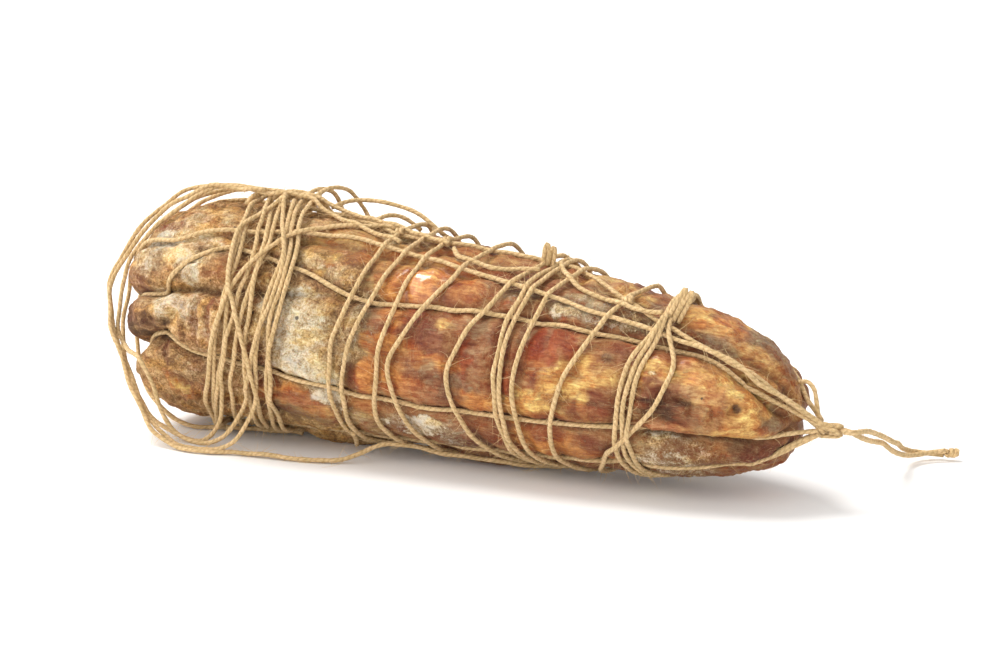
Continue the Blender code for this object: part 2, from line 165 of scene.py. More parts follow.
# the ridge's run is pulled taut, so it leaves its furrow here and there
tautAngles = {
    "ridge": (97, 98, 99, 100, 95, 83, 88, 92, 62, 46, 38),
    "brow": (58, 50, 54, 58, 66, 67, 63, 57, 51, 45, 27),
}
# hoops: stations at these clock angles, and how far each stands off behind the top
clock = (-90, -45, 0, 45, 90, 180)
hoops = {
    "hoop_01": ((117, 113, 116, 124, 126, 121), 2.5),
    "hoop_02": ((122, 117, 123, 133, 137, 130), 3.0),
    "hoop_03": ((142, 132, 137, 143, 147, 143), 2.0),
    "hoop_04": ((154, 147, 142, 158, 166, 162), 3.0),
    "hoop_05": ((187, 175, 167, 181, 190, 186), 3.0),
    "hoop_06": ((194, 188, 187, 190, 194, 191), 1.5),
    "hoop_07": ((197, 190.2, 189.2, 192.6, 197, 195), 2.5),
    "hoop_08": ((205, 196, 195, 200, 205, 203), 1.5),
    "hoop_09": ((214, 207, 213, 225, 232, 226), 1.5),
    "hoop_10": ((240, 234, 237, 242, 244, 239), 0.2),
    "hoop_11": ((244, 237.5, 239.6, 244.6, 246, 242), 0.2),
    "hoop_12": ((220, 227, 251, 257, 250, 236), 0.2),
}
bundle = {
    "turn_01": ((38, 50, 64, 70, 56, 48), 2),
    "turn_02": ((43, 55, 68, 66, 59, 52), 2),
    "turn_03": ((47, 59, 71, 74, 62, 56), 3),
    "turn_04": ((51, 64, 74, 77, 65, 60), 2),
    "turn_05": ((56, 72, 81, 84, 68, 64), 3),
    "turn_06": ((61, 68, 77, 80, 71, 68), 3),
    "turn_07": ((66, 76, 84, 87, 74, 73), 4),
    "turn_08": ((72, 80, 88, 91, 77, 82), 9),
    "turn_09": ((78, 84, 92, 94, 81, 91), 11),
}
hitch = {"from": 240, "station": 248.6, "angle": 65, "spread": 40, "pull": 0.82}
thirdStrand = ((247, 240, 242.2, 247.2, 248, 245), 0.2)  # beside the tenth and eleventh hoops
hoopGroove = {
    "depth": 0.85, "width": 1.9, "slant": 0.94, "swell": 0.9, "swellReach": (1.5, 9.0), "settled": 0.2,
    "loose": ((112, 34, 400), (-58, 20, 105)),  # no groove at these angles, up to a station
}

# rounded lumps and hollows: station, angle, half-length and half-width in mm, height in mm
meatLumps = (
    (148, 52, 13, 11, 1.7), (108, 66, 12, 7, 1.0), (116, 52, 9, 7, 0.8), (171, 50, 10, 8, 1.0),
    (262, 77, 15, 10, 1.8), (276, 74, 11, 8, 1.3), (289, 80, 7, 6, 1.0), (233, 74, 6, 7, 1.7),
    (246, 71, 5, 6, 1.2), (242, 80, 4, 4, -1.5), (205, 54, 4.5, 6, 1.0), (213, 53, 4, 6, 1.1),
    (221, 53, 4.5, 6, 1.2), (236, 57, 8, 5, 1.2), (209, 58, 1.8, 6, -1.0), (217, 57, 1.8, 6, -1.2),
    (227, 56, 2.2, 6, -1.3), (256, 57, 14, 4, 0.9), (37, 13, 7, 8, 1.5), (50, 16, 6, 8, 1.0),
    (22, 12, 6, 9, 0.6), (37, 4, 3.0, 3.0, -3.5), (29, -6, 4.5, 2.4, -3.0), (30, 6, 3.0, 5, -1.5),
    (14, 20, 7, 5, 0.8), (33, -14, 1.3, 8, -1.6), (59, 10, 1.5, 9, -0.9), (53, 8, 1.3, 10, -0.8),
    (6, 8, 17, 13, -5.0), (27, -9, 4.5, 1.8, -3.5), (34, -1, 4.5, 1.8, -3.5), (41, 9, 2.2, 1.6, -2.5),
    (36, -31, 2.0, 5, 1.6), (40, -36, 4.5, 2.0, 1.7), (46, -35, 4.0, 1.8, 1.4),
    (36, -38, 6, 1.6, -1.5), (43, -33, 4, 1.4, -1.3), (282, 42, 2.2, 1.6, -2.6),
    (280, 9, 1.4, 2.6, -2.4), (278, 5, 1.2, 1.6, -1.6), (259, 8, 6, 1.2, -1.8),
    (264, 4, 1.3, 4, -1.2), (256, -8, 4.5, 2.2, -1.5), (250, -5, 6, 1.3, -1.1),
    (272, 1, 1.1, 5, -0.9), (290, 43, 1.1, 1.1, -1.2), (288, 10, 1.0, 1.4, -1.0),
    (268, 34, 5, 1.2, -0.8), (274, 24, 1.2, 4, -0.7), (220, 13, 2.0, 2.0, -1.0),
    (228, 19, 2.0, 1.8, -0.8), (257, 22, 14, 10, 1.0), (285, 20, 9, 10, 1.0),
    (225, 12, 12, 8, 0.7), (250, -52, 16, 10, 1.2), (153, -36, 9, 5, 0.5),
    (202, 88, 4.5, 8, 1.6), (212, 86, 5, 9, 1.5), (222, 88, 3.5, 7, 1.1), (207, 87, 1.6, 7, -1.2),
    (217, 87, 1.6, 7, -1.2), (226, 56, 5, 5, 0.8), (244, 55, 6, 5, 1.0), (227, 86, 2, 7, -1.0),
)
lip = {  # a crack along the flank at the tip, full above and drawn in below
    "start": 240, "full": 250, "fade": 288, "end": 298, "width": 1.0, "crack": 2.8, "bulge": 1.3,
    "edge": (0.4, 2.2), "above": (5, 14), "below": (4, 10), "sunk": 0.7,
}
ribs = (  # station range, angle range, spacing and height in mm, of folds across the meat
    (40, 68, -13, 21, 5.4, 0.7), (24, 62, -60, -24, 7.5, 0.6), (150, 216, -14, 40, 9.5, 0.45),
    (150, 190, 100, 150, 8.5, 0.5), (20, 60, 200, 260, 7.0, 0.6), (196, 240, 150, 200, 9.0, 0.5),
)
ribEdge = {"along": 8, "inside": 9, "outside": 3, "bend": 2.2, "sharpness": 0.7}
lumpEdge = {"leastRadius": 4.0, "shake": 0.3, "mostShake": 2.0, "slope": 0.7, "falloff": 1.4}
casing = {
    # noises: size, octaves, seed and height
    "swirl": (14.0, 2, 1.0, 1.6), "bulges": (26.0, 1, 2.0, 0.95), "bumps": (10.0, 2, 4.0, 0.85),
    "pits": (4.6, 3, 6.0, 0.80),
    # wrinkles: stretch, size, seed and height
    "wrinklesAlong": ((0.16, 1.0, 1.0), 7.5, 21.0, 0.60),
    "wrinklesAcross": ((1.0, 0.22, 0.22), 6.5, 27.0, 0.40),
    # stations over which the ends' roughness and the middle's wrinkles across come and go
    "roughEnds": ((95, 130), (225, 262)), "calm": 0.55, "middle": ((118, 150), (225, 250)),
    "leastAcross": 0.25, "furrowWander": 0.8, "lipWander": 1.4,
}
# painted shade: how strongly the meat's colour darkens in creases, in hollows and where the hoops press
paintedShade = {"crease": 0.9, "press": 0.25, "hollow": 0.6, "hollowDepths": (0.6, 3.0)}


def outlineLine(steps=40):  # the outline as fine arrays of length so far, station, radius, height
    keys = np.arange(len(meatForm["outline"]))
    at = np.linspace(0, keys[-1], keys[-1] * steps + 1)
    x, r, z = (smoothRead(keys, column, at) for column in zip(*meatForm["outline"]))
    x, r = np.clip(x, 0, meatForm["outline"][-1][0]), np.maximum(r, 0)
    length = np.concatenate(([0.0], np.cumsum(np.hypot(np.diff(x), np.diff(r)))))
    return length, x, r, z


lineLength, lineStation, lineRadius, lineHeight = outlineLine()


def readOutline(length):  # station, radius, height and outward normal at lengths along the outline
    x, r, z = (np.interp(length, lineLength, line) for line in (lineStation, lineRadius, lineHeight))
    ahead, behind = length + 4.0, length - 4.0
    dx, dr = (np.interp(ahead, lineLength, line) - np.interp(behind, lineLength, line)
              for line in (lineStation, lineRadius))
    along = np.hypot(dx, dr)
    return x, r, z, -dr / along, dx / along


def girthAt(station):  # radius and height of the centre line
    return np.interp(station, lineStation, lineRadius), np.interp(station, lineStation, lineHeight)


def hoopStation(stations, angle):
    keys = [a - 360 for a in clock[-2:]] + list(clock) + [a + 360 for a in clock[:2]]
    table = list(stations[-2:]) + list(stations) + list(stations[:2])
    station = smoothRead(keys, table, (np.asarray(angle, float) + 90) % 360 - 90)
    if stations[3] > hitch["from"]:  # the last hoops are all hitched at one place
        pull = hitch["pull"] * hillRound(angle, hitch["angle"], hitch["spread"])
        station = station + (hitch["station"] - station) * pull
    return station


def furrowField(station, radius, angle):  # how deep the casing is drawn in, and how creased it is
    depth, crease = np.zeros_like(station), np.zeros_like(station)
    for name, angles in (runAngles | foldAngles).items():
        deep = smoothRead(furrowStations, furrowDepths[name], station)
        across = arcAcross(angle, smoothRead(runStations, angles, station), radius)
        wide = np.exp(-((across / furrow["width"]) ** 2))
        narrow = np.exp(-((across / furrow["creaseWidth"]) ** 2))
        depth += deep * (furrow["share"] * wide + furrow["creaseShare"] * narrow)
        crease = np.maximum(crease, np.minimum(deep / furrow["fullCrease"], 1.0) * narrow)
    return depth, crease


def hoopField(station, angle):  # how near the closest hoop is, and how hard it presses
    near, press = np.full_like(station, 99.0), np.zeros_like(station)
    for stations, _ in (hoops | bundle).values():
        gap = np.abs(station - hoopStation(stations, angle)) * hoopGroove["slant"]
        near = np.minimum(near, gap)
        press = np.maximum(press, np.exp(-((gap / hoopGroove["width"]) ** 2)))
    slack = sum(hillRound(angle, middle, spread) * (station < until)
                for middle, spread, until in hoopGroove["loose"])
    return near, press * (1 - np.minimum(slack, 1.0))


def lumpField(station, radius, angle, warp):
    height = np.zeros_like(station)
    for at, turn, halfLength, halfWidth, rise in meatLumps:
        across = arcAcross(angle, turn, np.maximum(radius, lumpEdge["leastRadius"]))
        shake = warp * min(min(halfLength, halfWidth) * lumpEdge["shake"], lumpEdge["mostShake"])
        apart = np.hypot((station - at + shake) / halfLength,
                         (across + shake * lumpEdge["slope"]) / halfWidth)
        height += rise * np.exp(-(apart ** 2) * lumpEdge["falloff"])
    return height


def ribField(station, angle, warp):
    height, edge = np.zeros_like(station), ribEdge["along"]
    for start, stop, low, high, spacing, rise in ribs:
        turn, half = np.abs(angleApart(angle, (low + high) / 2)), (high - low) / 2
        inside = (ramp(station, start, start + edge) * (1 - ramp(station, stop - edge, stop))
                  * (1 - ramp(turn, half - ribEdge["inside"], half + ribEdge["outside"])))
        wave = np.sin((station + warp * ribEdge["bend"]) * tau / spacing)
        height += rise * inside * np.sign(wave) * np.abs(wave) ** ribEdge["sharpness"]
    return height


def lipField(station, radius, angle):
    across = arcAcross(angle, smoothRead(runStations, runAngles["flank"], station), radius)
    share = ramp(station, lip["start"], lip["full"]) * (1 - ramp(station, lip["fade"], lip["end"]))
    bulge, sunk = (np.where(side > 0, ramp(side, *lip["edge"]) * (1 - ramp(side, *reach)), 0)
                   for side, reach in ((across, lip["above"]), (-across, lip["below"])))
    crack = np.exp(-((across / lip["width"]) ** 2))
    return share * (lip["bulge"] * (bulge - lip["sunk"] * sunk) - lip["crack"] * crack), share * crack


def footField(station, angle):
    return sum(hill(station - foot, halfLength) * hillRound(angle, -90, halfAngle)
               for foot, halfLength, halfAngle in meatForm["feet"]) * meatForm["footDepth"]


def edgeFade(radius):  # the relief fades out towards the meat's two ends
    return np.minimum(radius / meatForm["fullReliefRadius"], 1)


def setBack(station, radius, angle):  # the butt's lower half stands back from its upper half
    slope = np.degrees(np.arcsin(np.sin(np.radians(angle))))
    below = np.clip((meatForm["lobeEdge"] - slope) / meatForm["lobeBlend"], 0, 1)
    fade = hill(station, meatForm["lobeReach"]) * edgeFade(radius)
    return meatForm["lobeStep"] * below * below * (3 - 2 * below) * fade


def placeSkin(length, angle, rise):  # points in metres, rise mm off the outline
    x, r, z, nx, nr = readOutline(length)
    reach = np.maximum(r + nr * rise, 0.0)
    turn = np.radians(angle)
    x = x + nx * rise + setBack(x, r, angle)
    return np.stack((x - originStation, -reach * np.cos(turn), z + reach * np.sin(turn)), -1) * mm


def skinPoint(length, angle, off):  # off the furrowed casing, as the twine's runs lie
    x, r, _, _, _ = readOutline(length)
    depth, _ = furrowField(x, r, angle)
    return placeSkin(length, angle, off - depth * edgeFade(r))


# the meat's colours: tones, and where each shows

tones = {
    "tan": (0.60, 0.37, 0.17), "olive": (0.51, 0.33, 0.13), "brown": (0.39, 0.18, 0.070),
    "orange": (0.63, 0.262, 0.066), "amber": (0.75, 0.455, 0.14), "red": (0.33, 0.060, 0.016),
    "plum": (0.215, 0.060, 0.026), "grey": (0.31, 0.20, 0.112), "pink": (0.53, 0.235, 0.10),
    # dark is near-black: real dark spots, and painted shade in the cracks and holes of the lumps
    "ash": (0.58, 0.41, 0.235), "dark": (0.08, 0.038, 0.018), "ochre": (0.65, 0.35, 0.115),
}
# how much each tone darkens the dust over it; the dark tone is partly painted shade in cracks and holes
darkTones = {"grey": 0.8, "dark": 1.4, "plum": 0.9, "brown": 0.45}
bareTones = {"orange": 1.0, "red": 0.9, "amber": 1.0, "pink": 0.6, "plum": 0.5, "ochre": 0.7}
# the casing's own tone along the meat
casingTones = ((0, "tan"), (60, "tan"), (118, "olive"), (140, "brown"), (205, "brown"),
               (240, "brown"), (298, "brown"))
# patches: tone, station, angle, half-length and half-width in mm, strength
patches = (
    ("tan", 108, 74, 24, 13, 0.7), ("ochre", 136, 70, 20, 11, 0.7), ("orange", 160, 66, 16, 9, 0.6),
    ("plum", 9, 9, 12, 9, 0.9), ("red", 12, 14, 7, 6, 0.6), ("dark", 14, 1, 4, 4, 0.5),
    ("grey", 22, 38, 10, 9, 0.5), ("red", 13, 32, 8, 7, 0.5), ("grey", 54, 42, 9, 5, 0.75),
    ("orange", 63, 34, 10, 9, 0.55), ("orange", 43, 79, 8, 5, 0.4), ("olive", 41, 70, 14, 8, 0.5),
    ("red", 25, 62, 9, 3, 0.7), ("red", 15, 24, 7, 6, 0.6), ("plum", 20, 14, 8, 8, 0.35),
    ("red", 59, 10, 2.2, 12, 0.7), ("red", 53, 6, 2.0, 12, 0.55), ("plum", 47, 4, 3, 12, 0.3),
    ("red", 34, -15, 2.2, 7, 0.75), ("orange", 37, -32, 7, 8, 1.0), ("orange", 43, -37, 9, 4, 1.0),
    ("amber", 39, -33, 5, 5, 0.9),
    ("brown", 50, -38, 8, 6, 0.5), ("grey", 42, -20, 14, 8, 0.4), ("brown", 52, -10, 9, 10, 0.35),
    # the dark ones here are painted shade in the butt's holes and cracks
    ("dark", 38, 5, 5, 4, 0.8), ("dark", 30, -5, 7, 3.5, 0.9), ("dark", 20, -4, 6, 3, 0.7),
    ("plum", 27, 4, 7, 4, 0.6), ("ash", 37, 13, 8, 8, 0.5),
    ("red", 79, -11, 9, 8, 0.7), ("plum", 83, -8, 5, 6, 0.5), ("orange", 86, -29, 15, 7, 0.9),
    ("pink", 100, -31, 10, 5, 0.6), ("grey", 88, -42, 18, 5, 0.7), ("brown", 105, -42, 14, 5, 0.5),
    ("olive", 93, 54, 14, 9, 0.7), ("amber", 108, 49, 5, 3, 0.8), ("amber", 104, 42, 5, 3, 0.85),
    ("ash", 113, 43, 8, 6, 0.7), ("orange", 101, 62, 10, 6, 0.6), ("orange", 113, 61, 12, 6, 0.65),
    ("pink", 120, 52, 8, 8, 0.55), ("plum", 122, 46, 4, 9, 0.55), ("brown", 128, 52, 7, 9, 0.5),
    ("grey", 93, 36, 14, 6, 0.8), ("grey", 112, 34, 8, 4, 0.6), ("brown", 123, 27, 9, 8, 0.6),
    ("orange", 149, 49, 15, 12, 1.0), ("orange", 135, 40, 9, 7, 0.95), ("amber", 148, 56, 8, 6, 0.5),
    ("grey", 118, 8, 10, 16, 0.5), ("orange", 142, 27, 9, 6, 0.8), ("orange", 138, 16, 7, 10, 0.75),
    ("red", 137, 22, 5, 12, 0.45), ("plum", 154, 22, 9, 7, 0.75), ("red", 150, 28, 7, 5, 0.6),
    ("plum", 156, 12, 12, 8, 0.6), ("amber", 164, 26, 4, 2.6, 0.8), ("plum", 161, 46, 6, 7, 0.7),
    ("orange", 170, 46, 9, 7, 0.5), ("orange", 161, 60, 10, 5, 0.7), ("plum", 166, 38, 8, 4, 0.4),
    ("ochre", 112, 67, 17, 9, 0.75), ("orange", 127, 60, 11, 8, 0.5), ("amber", 100, 62, 8, 4, 0.5),
    ("orange", 90, -27, 18, 6, 0.9), ("pink", 98, -31, 13, 5, 0.8), ("red", 81, -22, 7, 4, 0.6),
    ("orange", 108, -38, 12, 5, 0.6), ("plum", 84, -42, 12, 4, 0.5),
    ("olive", 127, 20, 9, 13, 0.9), ("grey", 132, 24, 6, 9, 0.65), ("olive", 124, 38, 8, 7, 0.6),
    ("red", 173, 8, 4, 13, 0.85), ("brown", 168, 20, 4, 10, 0.5), ("grey", 179, 19, 5, 16, 0.6),
    ("tan", 176, 38, 5, 8, 0.45), ("pink", 185, 48, 9, 6, 0.5), ("plum", 187, 22, 4, 18, 0.6),
    ("plum", 171, 70, 8, 5, 0.5), ("grey", 187, 62, 12, 6, 0.5), ("plum", 200, 72, 12, 6, 0.4),
    ("red", 203, 28, 3.5, 16, 0.85), ("red", 210, 30, 3.5, 14, 0.8), ("red", 216, 32, 3.5, 9, 0.8),
    ("grey", 197, 33, 3.5, 10, 0.6), ("grey", 206, 36, 2.0, 8, 0.4), ("red", 201, 18, 10, 5, 0.6),
    ("orange", 206, 11, 8, 3, 0.5), ("red", 192, -2, 5, 8, 0.8), ("plum", 204, 4, 7, 6, 0.7),
    ("red", 187, 6, 5, 14, 0.4), ("plum", 125, -11, 6, 8, 0.8), ("red", 128, -14, 3, 7, 0.6),
    ("orange", 131, -10, 4, 10, 0.95), ("orange", 137, 4, 7, 10, 0.6), ("orange", 145, -10, 10, 8, 0.9),
    ("pink", 152, -14, 14, 6, 0.5), ("orange", 162, 4, 12, 4, 0.85), ("orange", 148, 9, 9, 4, 0.6),
    ("plum", 150, 2, 8, 5, 0.4), ("grey", 160, -2, 5, 6, 0.7), ("grey", 170, -9, 8, 8, 0.75),
    ("plum", 166, -16, 8, 5, 0.5), ("orange", 179, -15, 10, 7, 0.9), ("brown", 181, 6, 5, 12, 0.6),
    ("orange", 189, -18, 9, 6, 0.9), ("amber", 202, -11, 14, 7, 1.0), ("amber", 190, -12, 6, 4, 0.5),
    ("amber", 215, 2, 9, 9, 1.0), ("amber", 228, 12, 11, 9, 1.0), ("amber", 219, 7, 8, 8, 0.9),
    ("orange", 208, 2, 5, 6, 0.5), ("brown", 220, 12, 3.2, 3.2, 0.6), ("brown", 228, 19, 3.5, 3, 0.6),
    ("brown", 226, 33, 9, 8, 0.8), ("brown", 233, 27, 8, 5, 0.7), ("plum", 238, 33, 7, 9, 0.5),
    ("dark", 231, 26, 2.4, 2.0, 0.7), ("plum", 217, -7, 8, 5, 0.7), ("plum", 230, -3, 9, 8, 0.85),
    ("amber", 224, -6, 2.6, 8, 0.85), ("red", 228, -10, 7, 3, 0.6), ("red", 207, -18, 12, 4, 0.7),
    ("plum", 214, -20, 16, 3, 0.6), ("brown", 226, -17, 12, 5, 0.5),
    # the front lobe at the tip, with its dark lines as painted shade in its cracks
    ("brown", 262, 5, 34, 26, 0.5), ("pink", 258, 39, 20, 4.5, 0.9), ("pink", 240, 44, 8, 6, 0.6),
    ("red", 268, 36.5, 9, 2.0, 0.8), ("red", 244, 37, 5, 5, 0.5), ("ochre", 272, 28, 18, 9, 0.8),
    ("amber", 254, 23, 17, 5.5, 1.0), ("amber", 246, 17, 6, 3.5, 0.8), ("amber", 270, 25, 10, 4, 0.8),
    ("plum", 249, 8, 9, 6, 0.8), ("brown", 258, 12, 10, 4, 0.9), ("plum", 262, 6, 7, 4, 0.7),
    ("dark", 264, 8, 5, 1.0, 0.7), ("dark", 268, 2, 3.5, 1.0, 0.6), ("dark", 257, -9, 3.2, 2.4, 0.65),
    ("plum", 254, -4, 7, 4, 0.6), ("pink", 256, -15, 16, 4, 0.8), ("red", 262, -11, 9, 2.5, 0.5),
    ("ochre", 271, 14, 9, 6, 0.85), ("orange", 268, 0, 7, 5, 0.6), ("ochre", 268, -9, 9, 5, 0.7),
    ("brown", 276, 16, 3, 5, 0.5), ("ochre", 282, -7, 12, 7, 0.85), ("amber", 280, -13, 9, 4, 0.6),
    ("amber", 285, 22, 10, 12, 1.0), ("amber", 281, 31, 8, 6, 0.9), ("ochre", 291, 24, 5, 10, 0.6),
    ("grey", 292, 0, 3.4, 4.0, 0.85), ("grey", 294, 33, 3.0, 5, 0.7), ("brown", 296, 12, 2.5, 8, 0.7),
    ("brown", 283, 40, 8, 3, 0.5), ("dark", 284, 35, 2.2, 1.0, 0.8), ("dark", 280, 10, 1.2, 2.2, 0.8),
    ("brown", 257, 4, 17, 10, 0.85), ("plum", 252, 5, 9, 6, 0.85), ("plum", 262, -2, 8, 5, 0.8),
    ("dark", 255, -2, 5, 2.6, 0.7), ("dark", 264, 6, 6, 1.2, 0.7), ("ochre", 268, 10, 4, 3, 0.5),
    ("dark", 256, 2, 10, 6, 0.4), ("dark", 250, 4, 7, 1.0, 0.8), ("dark", 260, -7, 7, 1.0, 0.75),
    ("dark", 247, -3, 4, 1.4, 0.6), ("brown", 268, -4, 9, 6, 0.6),
    # the ridge between the hoops
    ("tan", 190, 85, 10, 6, 0.6), ("ochre", 203, 83, 11, 7, 0.85), ("tan", 216, 82, 10, 7, 0.85),
    ("amber", 209, 86, 6, 4, 0.7), ("ochre", 228, 84, 9, 7, 0.8), ("brown", 197, 80, 4, 5, 0.6),
    ("ochre", 172, 80, 10, 6, 0.5), ("orange", 157, 80, 9, 6, 0.5),
    # the back lobe and the band between the runs at the tip
    ("amber", 231, 76, 9, 7, 0.8), ("grey", 241, 77, 4, 4, 0.8), ("ochre", 262, 78, 16, 10, 0.95),
    ("amber", 256, 74, 8, 5, 0.8), ("dark", 263, 81, 2.2, 1.6, 0.7), ("red", 266, 84, 4, 4, 0.6),
    ("red", 275, 74, 4, 4, 0.5), ("orange", 272, 80, 8, 7, 0.6), ("grey", 282, 86, 10, 11, 0.8),
    ("brown", 289, 84, 6, 8, 0.7), ("ochre", 296, 86, 3, 8, 0.7), ("grey", 240, 54, 10, 6, 0.8),
    ("brown", 256, 55, 14, 5, 0.8), ("plum", 266, 54, 8, 3, 0.5), ("ochre", 281, 60, 9, 5, 0.85),
    ("ash", 270, 58, 6, 4, 0.6), ("ochre", 288, 60, 6, 5, 0.8), ("ash", 214, 55, 14, 7, 0.8),
    ("pink", 119, -46, 10, 5, 0.5), ("orange", 125, -29, 9, 5, 0.75), ("tan", 119, -40, 9, 4, 0.6),
    ("brown", 122, -31, 9, 4, 0.5), ("plum", 172, -46, 12, 8, 0.7), ("ash", 160, -39, 10, 5, 0.7),
    ("orange", 197, -43, 12, 8, 0.85), ("orange", 214, -37, 12, 6, 0.75), ("plum", 186, -38, 8, 8, 0.6),
    ("plum", 224, -35, 9, 6, 0.7), ("red", 205, -30, 10, 4, 0.6), ("orange", 222, -48, 10, 6, 0.5),
    ("tan", 247, -30, 7, 6, 0.9), ("red", 266, -36, 8, 4, 0.7), ("brown", 258, -42, 14, 8, 0.7),
    ("orange", 272, -36, 5, 4, 0.6), ("brown", 276, -40, 7, 6, 0.7), ("brown", 268, -58, 10, 9, 0.8),
    ("brown", 252, -66, 16, 8, 0.8), ("dark", 284, -40, 9, 6, 0.6), ("plum", 288, -52, 8, 6, 0.8),
)
# mould in the same way, with no tone
mouldPatches = (
    (28, 52, 14, 6, 1.0), (18, 48, 9, 7, 0.8), (43, 52, 12, 5, 0.7), (43, 37, 8, 6, 1.0),
    (47, 29, 6, 4, 0.8), (32, 45, 8, 6, 0.6), (41, 70, 12, 8, 0.4), (37, 14, 8, 7, 0.7),
    (48, 14, 6, 8, 0.6), (58, 4, 8, 10, 0.3), (42, -20, 8, 4, 0.2), (25, 18, 7, 6, 0.4),
    (90, 18, 10, 9, 0.75), (100, 14, 12, 10, 0.8), (108, 10, 8, 10, 0.8), (98, 2, 12, 10, 0.75),
    (106, -6, 8, 9, 1.0), (100, -11, 11, 7, 1.0), (112, -14, 7, 9, 0.95), (110, -24, 9, 6, 1.0),
    (102, 8, 20, 16, 0.5), (44, 44, 16, 10, 0.5),
    (92, -8, 8, 8, 0.6), (118, 10, 9, 12, 0.45), (98, 30, 10, 3, 1.0), (96, 46, 14, 7, 0.35),
    (106, 45, 8, 4, 0.5), (113, 43, 7, 5, 0.4), (118, -2, 7, 8, 0.5), (124, -18, 5, 6, 0.4),
    (153, -34, 9, 4, 1.1), (147, -43, 12, 6, 0.95), (158, -40, 10, 6, 0.7), (140, -36, 8, 5, 0.5),
    (170, -40, 10, 6, 0.4), (166, -52, 14, 6, 0.6), (130, -42, 14, 4, 0.5), (116, -34, 9, 4, 0.6),
    (208, 50, 8, 4, 0.7), (218, 53, 8, 5, 0.55), (213, 57, 12, 6, 0.5), (233, 55, 9, 5, 0.65),
    (228, 60, 9, 5, 0.5), (256, 58, 12, 4, 0.45), (190, 57, 10, 4, 0.5), (182, 52, 8, 4, 0.4),
    (232, 68, 8, 5, 0.5), (245, 68, 6, 4, 0.4), (284, 84, 8, 9, 0.45), (249, 22, 2.5, 1.2, 0.9),
    (252, -24, 10, 1.6, 0.8), (252, -36, 10, 4, 0.62), (252, -43, 16, 7, 0.72), (240, -72, 12, 7, 0.9),
    (258, -66, 12, 7, 0.6), (262, -50, 10, 4, 0.45), (258, -34, 18, 8, 0.42), (250, -50, 14, 7, 0.7),
    (224, 52, 9, 5, 0.6), (243, 54, 8, 4.5, 0.6), (262, 54, 10, 3, 0.35), (200, 53, 7, 4, 0.5),
    (127, 18, 9, 10, 0.5), (131, 28, 7, 8, 0.45), (24, 40, 12, 8, 0.6), (52, 46, 8, 5, 0.5),
    (30, 62, 12, 6, 0.45), (56, -16, 7, 8, 0.35), (88, 30, 8, 5, 0.6), (84, 6, 7, 10, 0.4),
    (226, -34, 8, 5, 0.35), (186, -38, 9, 5, 0.3),
    (130, 80, 14, 6, 0.5), (155, 74, 10, 4, 0.5), (75, 84, 14, 8, 0.4),
)
hiddenPatches = {  # the side behind has its patches drawn at random from these ranges
    "seed": 41, "count": 120, "mouldCount": 34, "station": (5, 290), "angle": (98, 262),
    "length": (4, 14), "width": (4, 12), "strength": (0.5, 0.95), "dustyUntil": 115,
    "dusty": ("tan", "olive", "grey", "brown"), "bare": ("orange", "red", "plum", "amber", "grey"),
    "mould": ((105, 265), (9, 24), (5, 12), (0.25, 0.9)),  # angle, length, width, strength
}
patchEdge = {"leastRadius": 3.0, "shake": 0.45, "mostShake": 4.0, "slope": 0.8, "fade": (0.62, 1.18)}
# where dusty mould lies: angle or a range of angles, half-width, station range and share
dustPlaces = {
    "ends": (116, 140), "wander": 8, "brow": (56, 9, (190, 225), 0.7), "back": (-100, -80, 0.25),
    "bareShare": 0.85, "thinner": ((66, 24, (84, 100), 0.45), (-38, 24, (68, 84), 0.6)),
    "keel": (256, -42, 22, 13), "keelShare": 0.6,
}
paintNoise = {  # size, octaves, seed and height
    "near": (7.0, 5, 3.0, 1.5), "wide": (18.0, 3, 8.0, 1.6), "streaks": (3.6, 3, 12.0, 1.6),
    "streakStretch": (0.2, 1.0, 1.0), "toneWander": 6, "smallPatch": 7,
}
glossPlaces = ((0.4, (149, 50, 12, 11), 1.0), (1.0, (262, 26, 24, 9), 0.3))  # shake, place, share


def patchWeight(station, radius, angle, warp, at, turn, halfLength, halfWidth):
    across = arcAcross(angle, turn, np.maximum(radius, patchEdge["leastRadius"]))
    shake = warp * min(patchEdge["shake"] * min(halfLength, halfWidth), patchEdge["mostShake"])
    apart = np.hypot((station - at + shake) / halfLength,
                     (across - shake * patchEdge["slope"]) / halfWidth)
    return 1 - ramp(apart, *patchEdge["fade"])


def drawHidden(rng):
    drawn = []
    for _ in range(hiddenPatches["count"]):
        at, turn = rng.uniform(*hiddenPatches["station"]), rng.uniform(*hiddenPatches["angle"])
        kinds = hiddenPatches["dusty" if at < hiddenPatches["dustyUntil"] else "bare"]
        drawn.append((rng.choice(kinds), at, turn, rng.uniform(*hiddenPatches["length"]),
                      rng.uniform(*hiddenPatches["width"]), rng.uniform(*hiddenPatches["strength"])))
    mould = [(5 + 280 * rng.random() ** 1.5, *(rng.uniform(*span) for span in hiddenPatches["mould"]))
             for _ in range(hiddenPatches["mouldCount"])]  # more of it towards the butt
    return drawn, mould


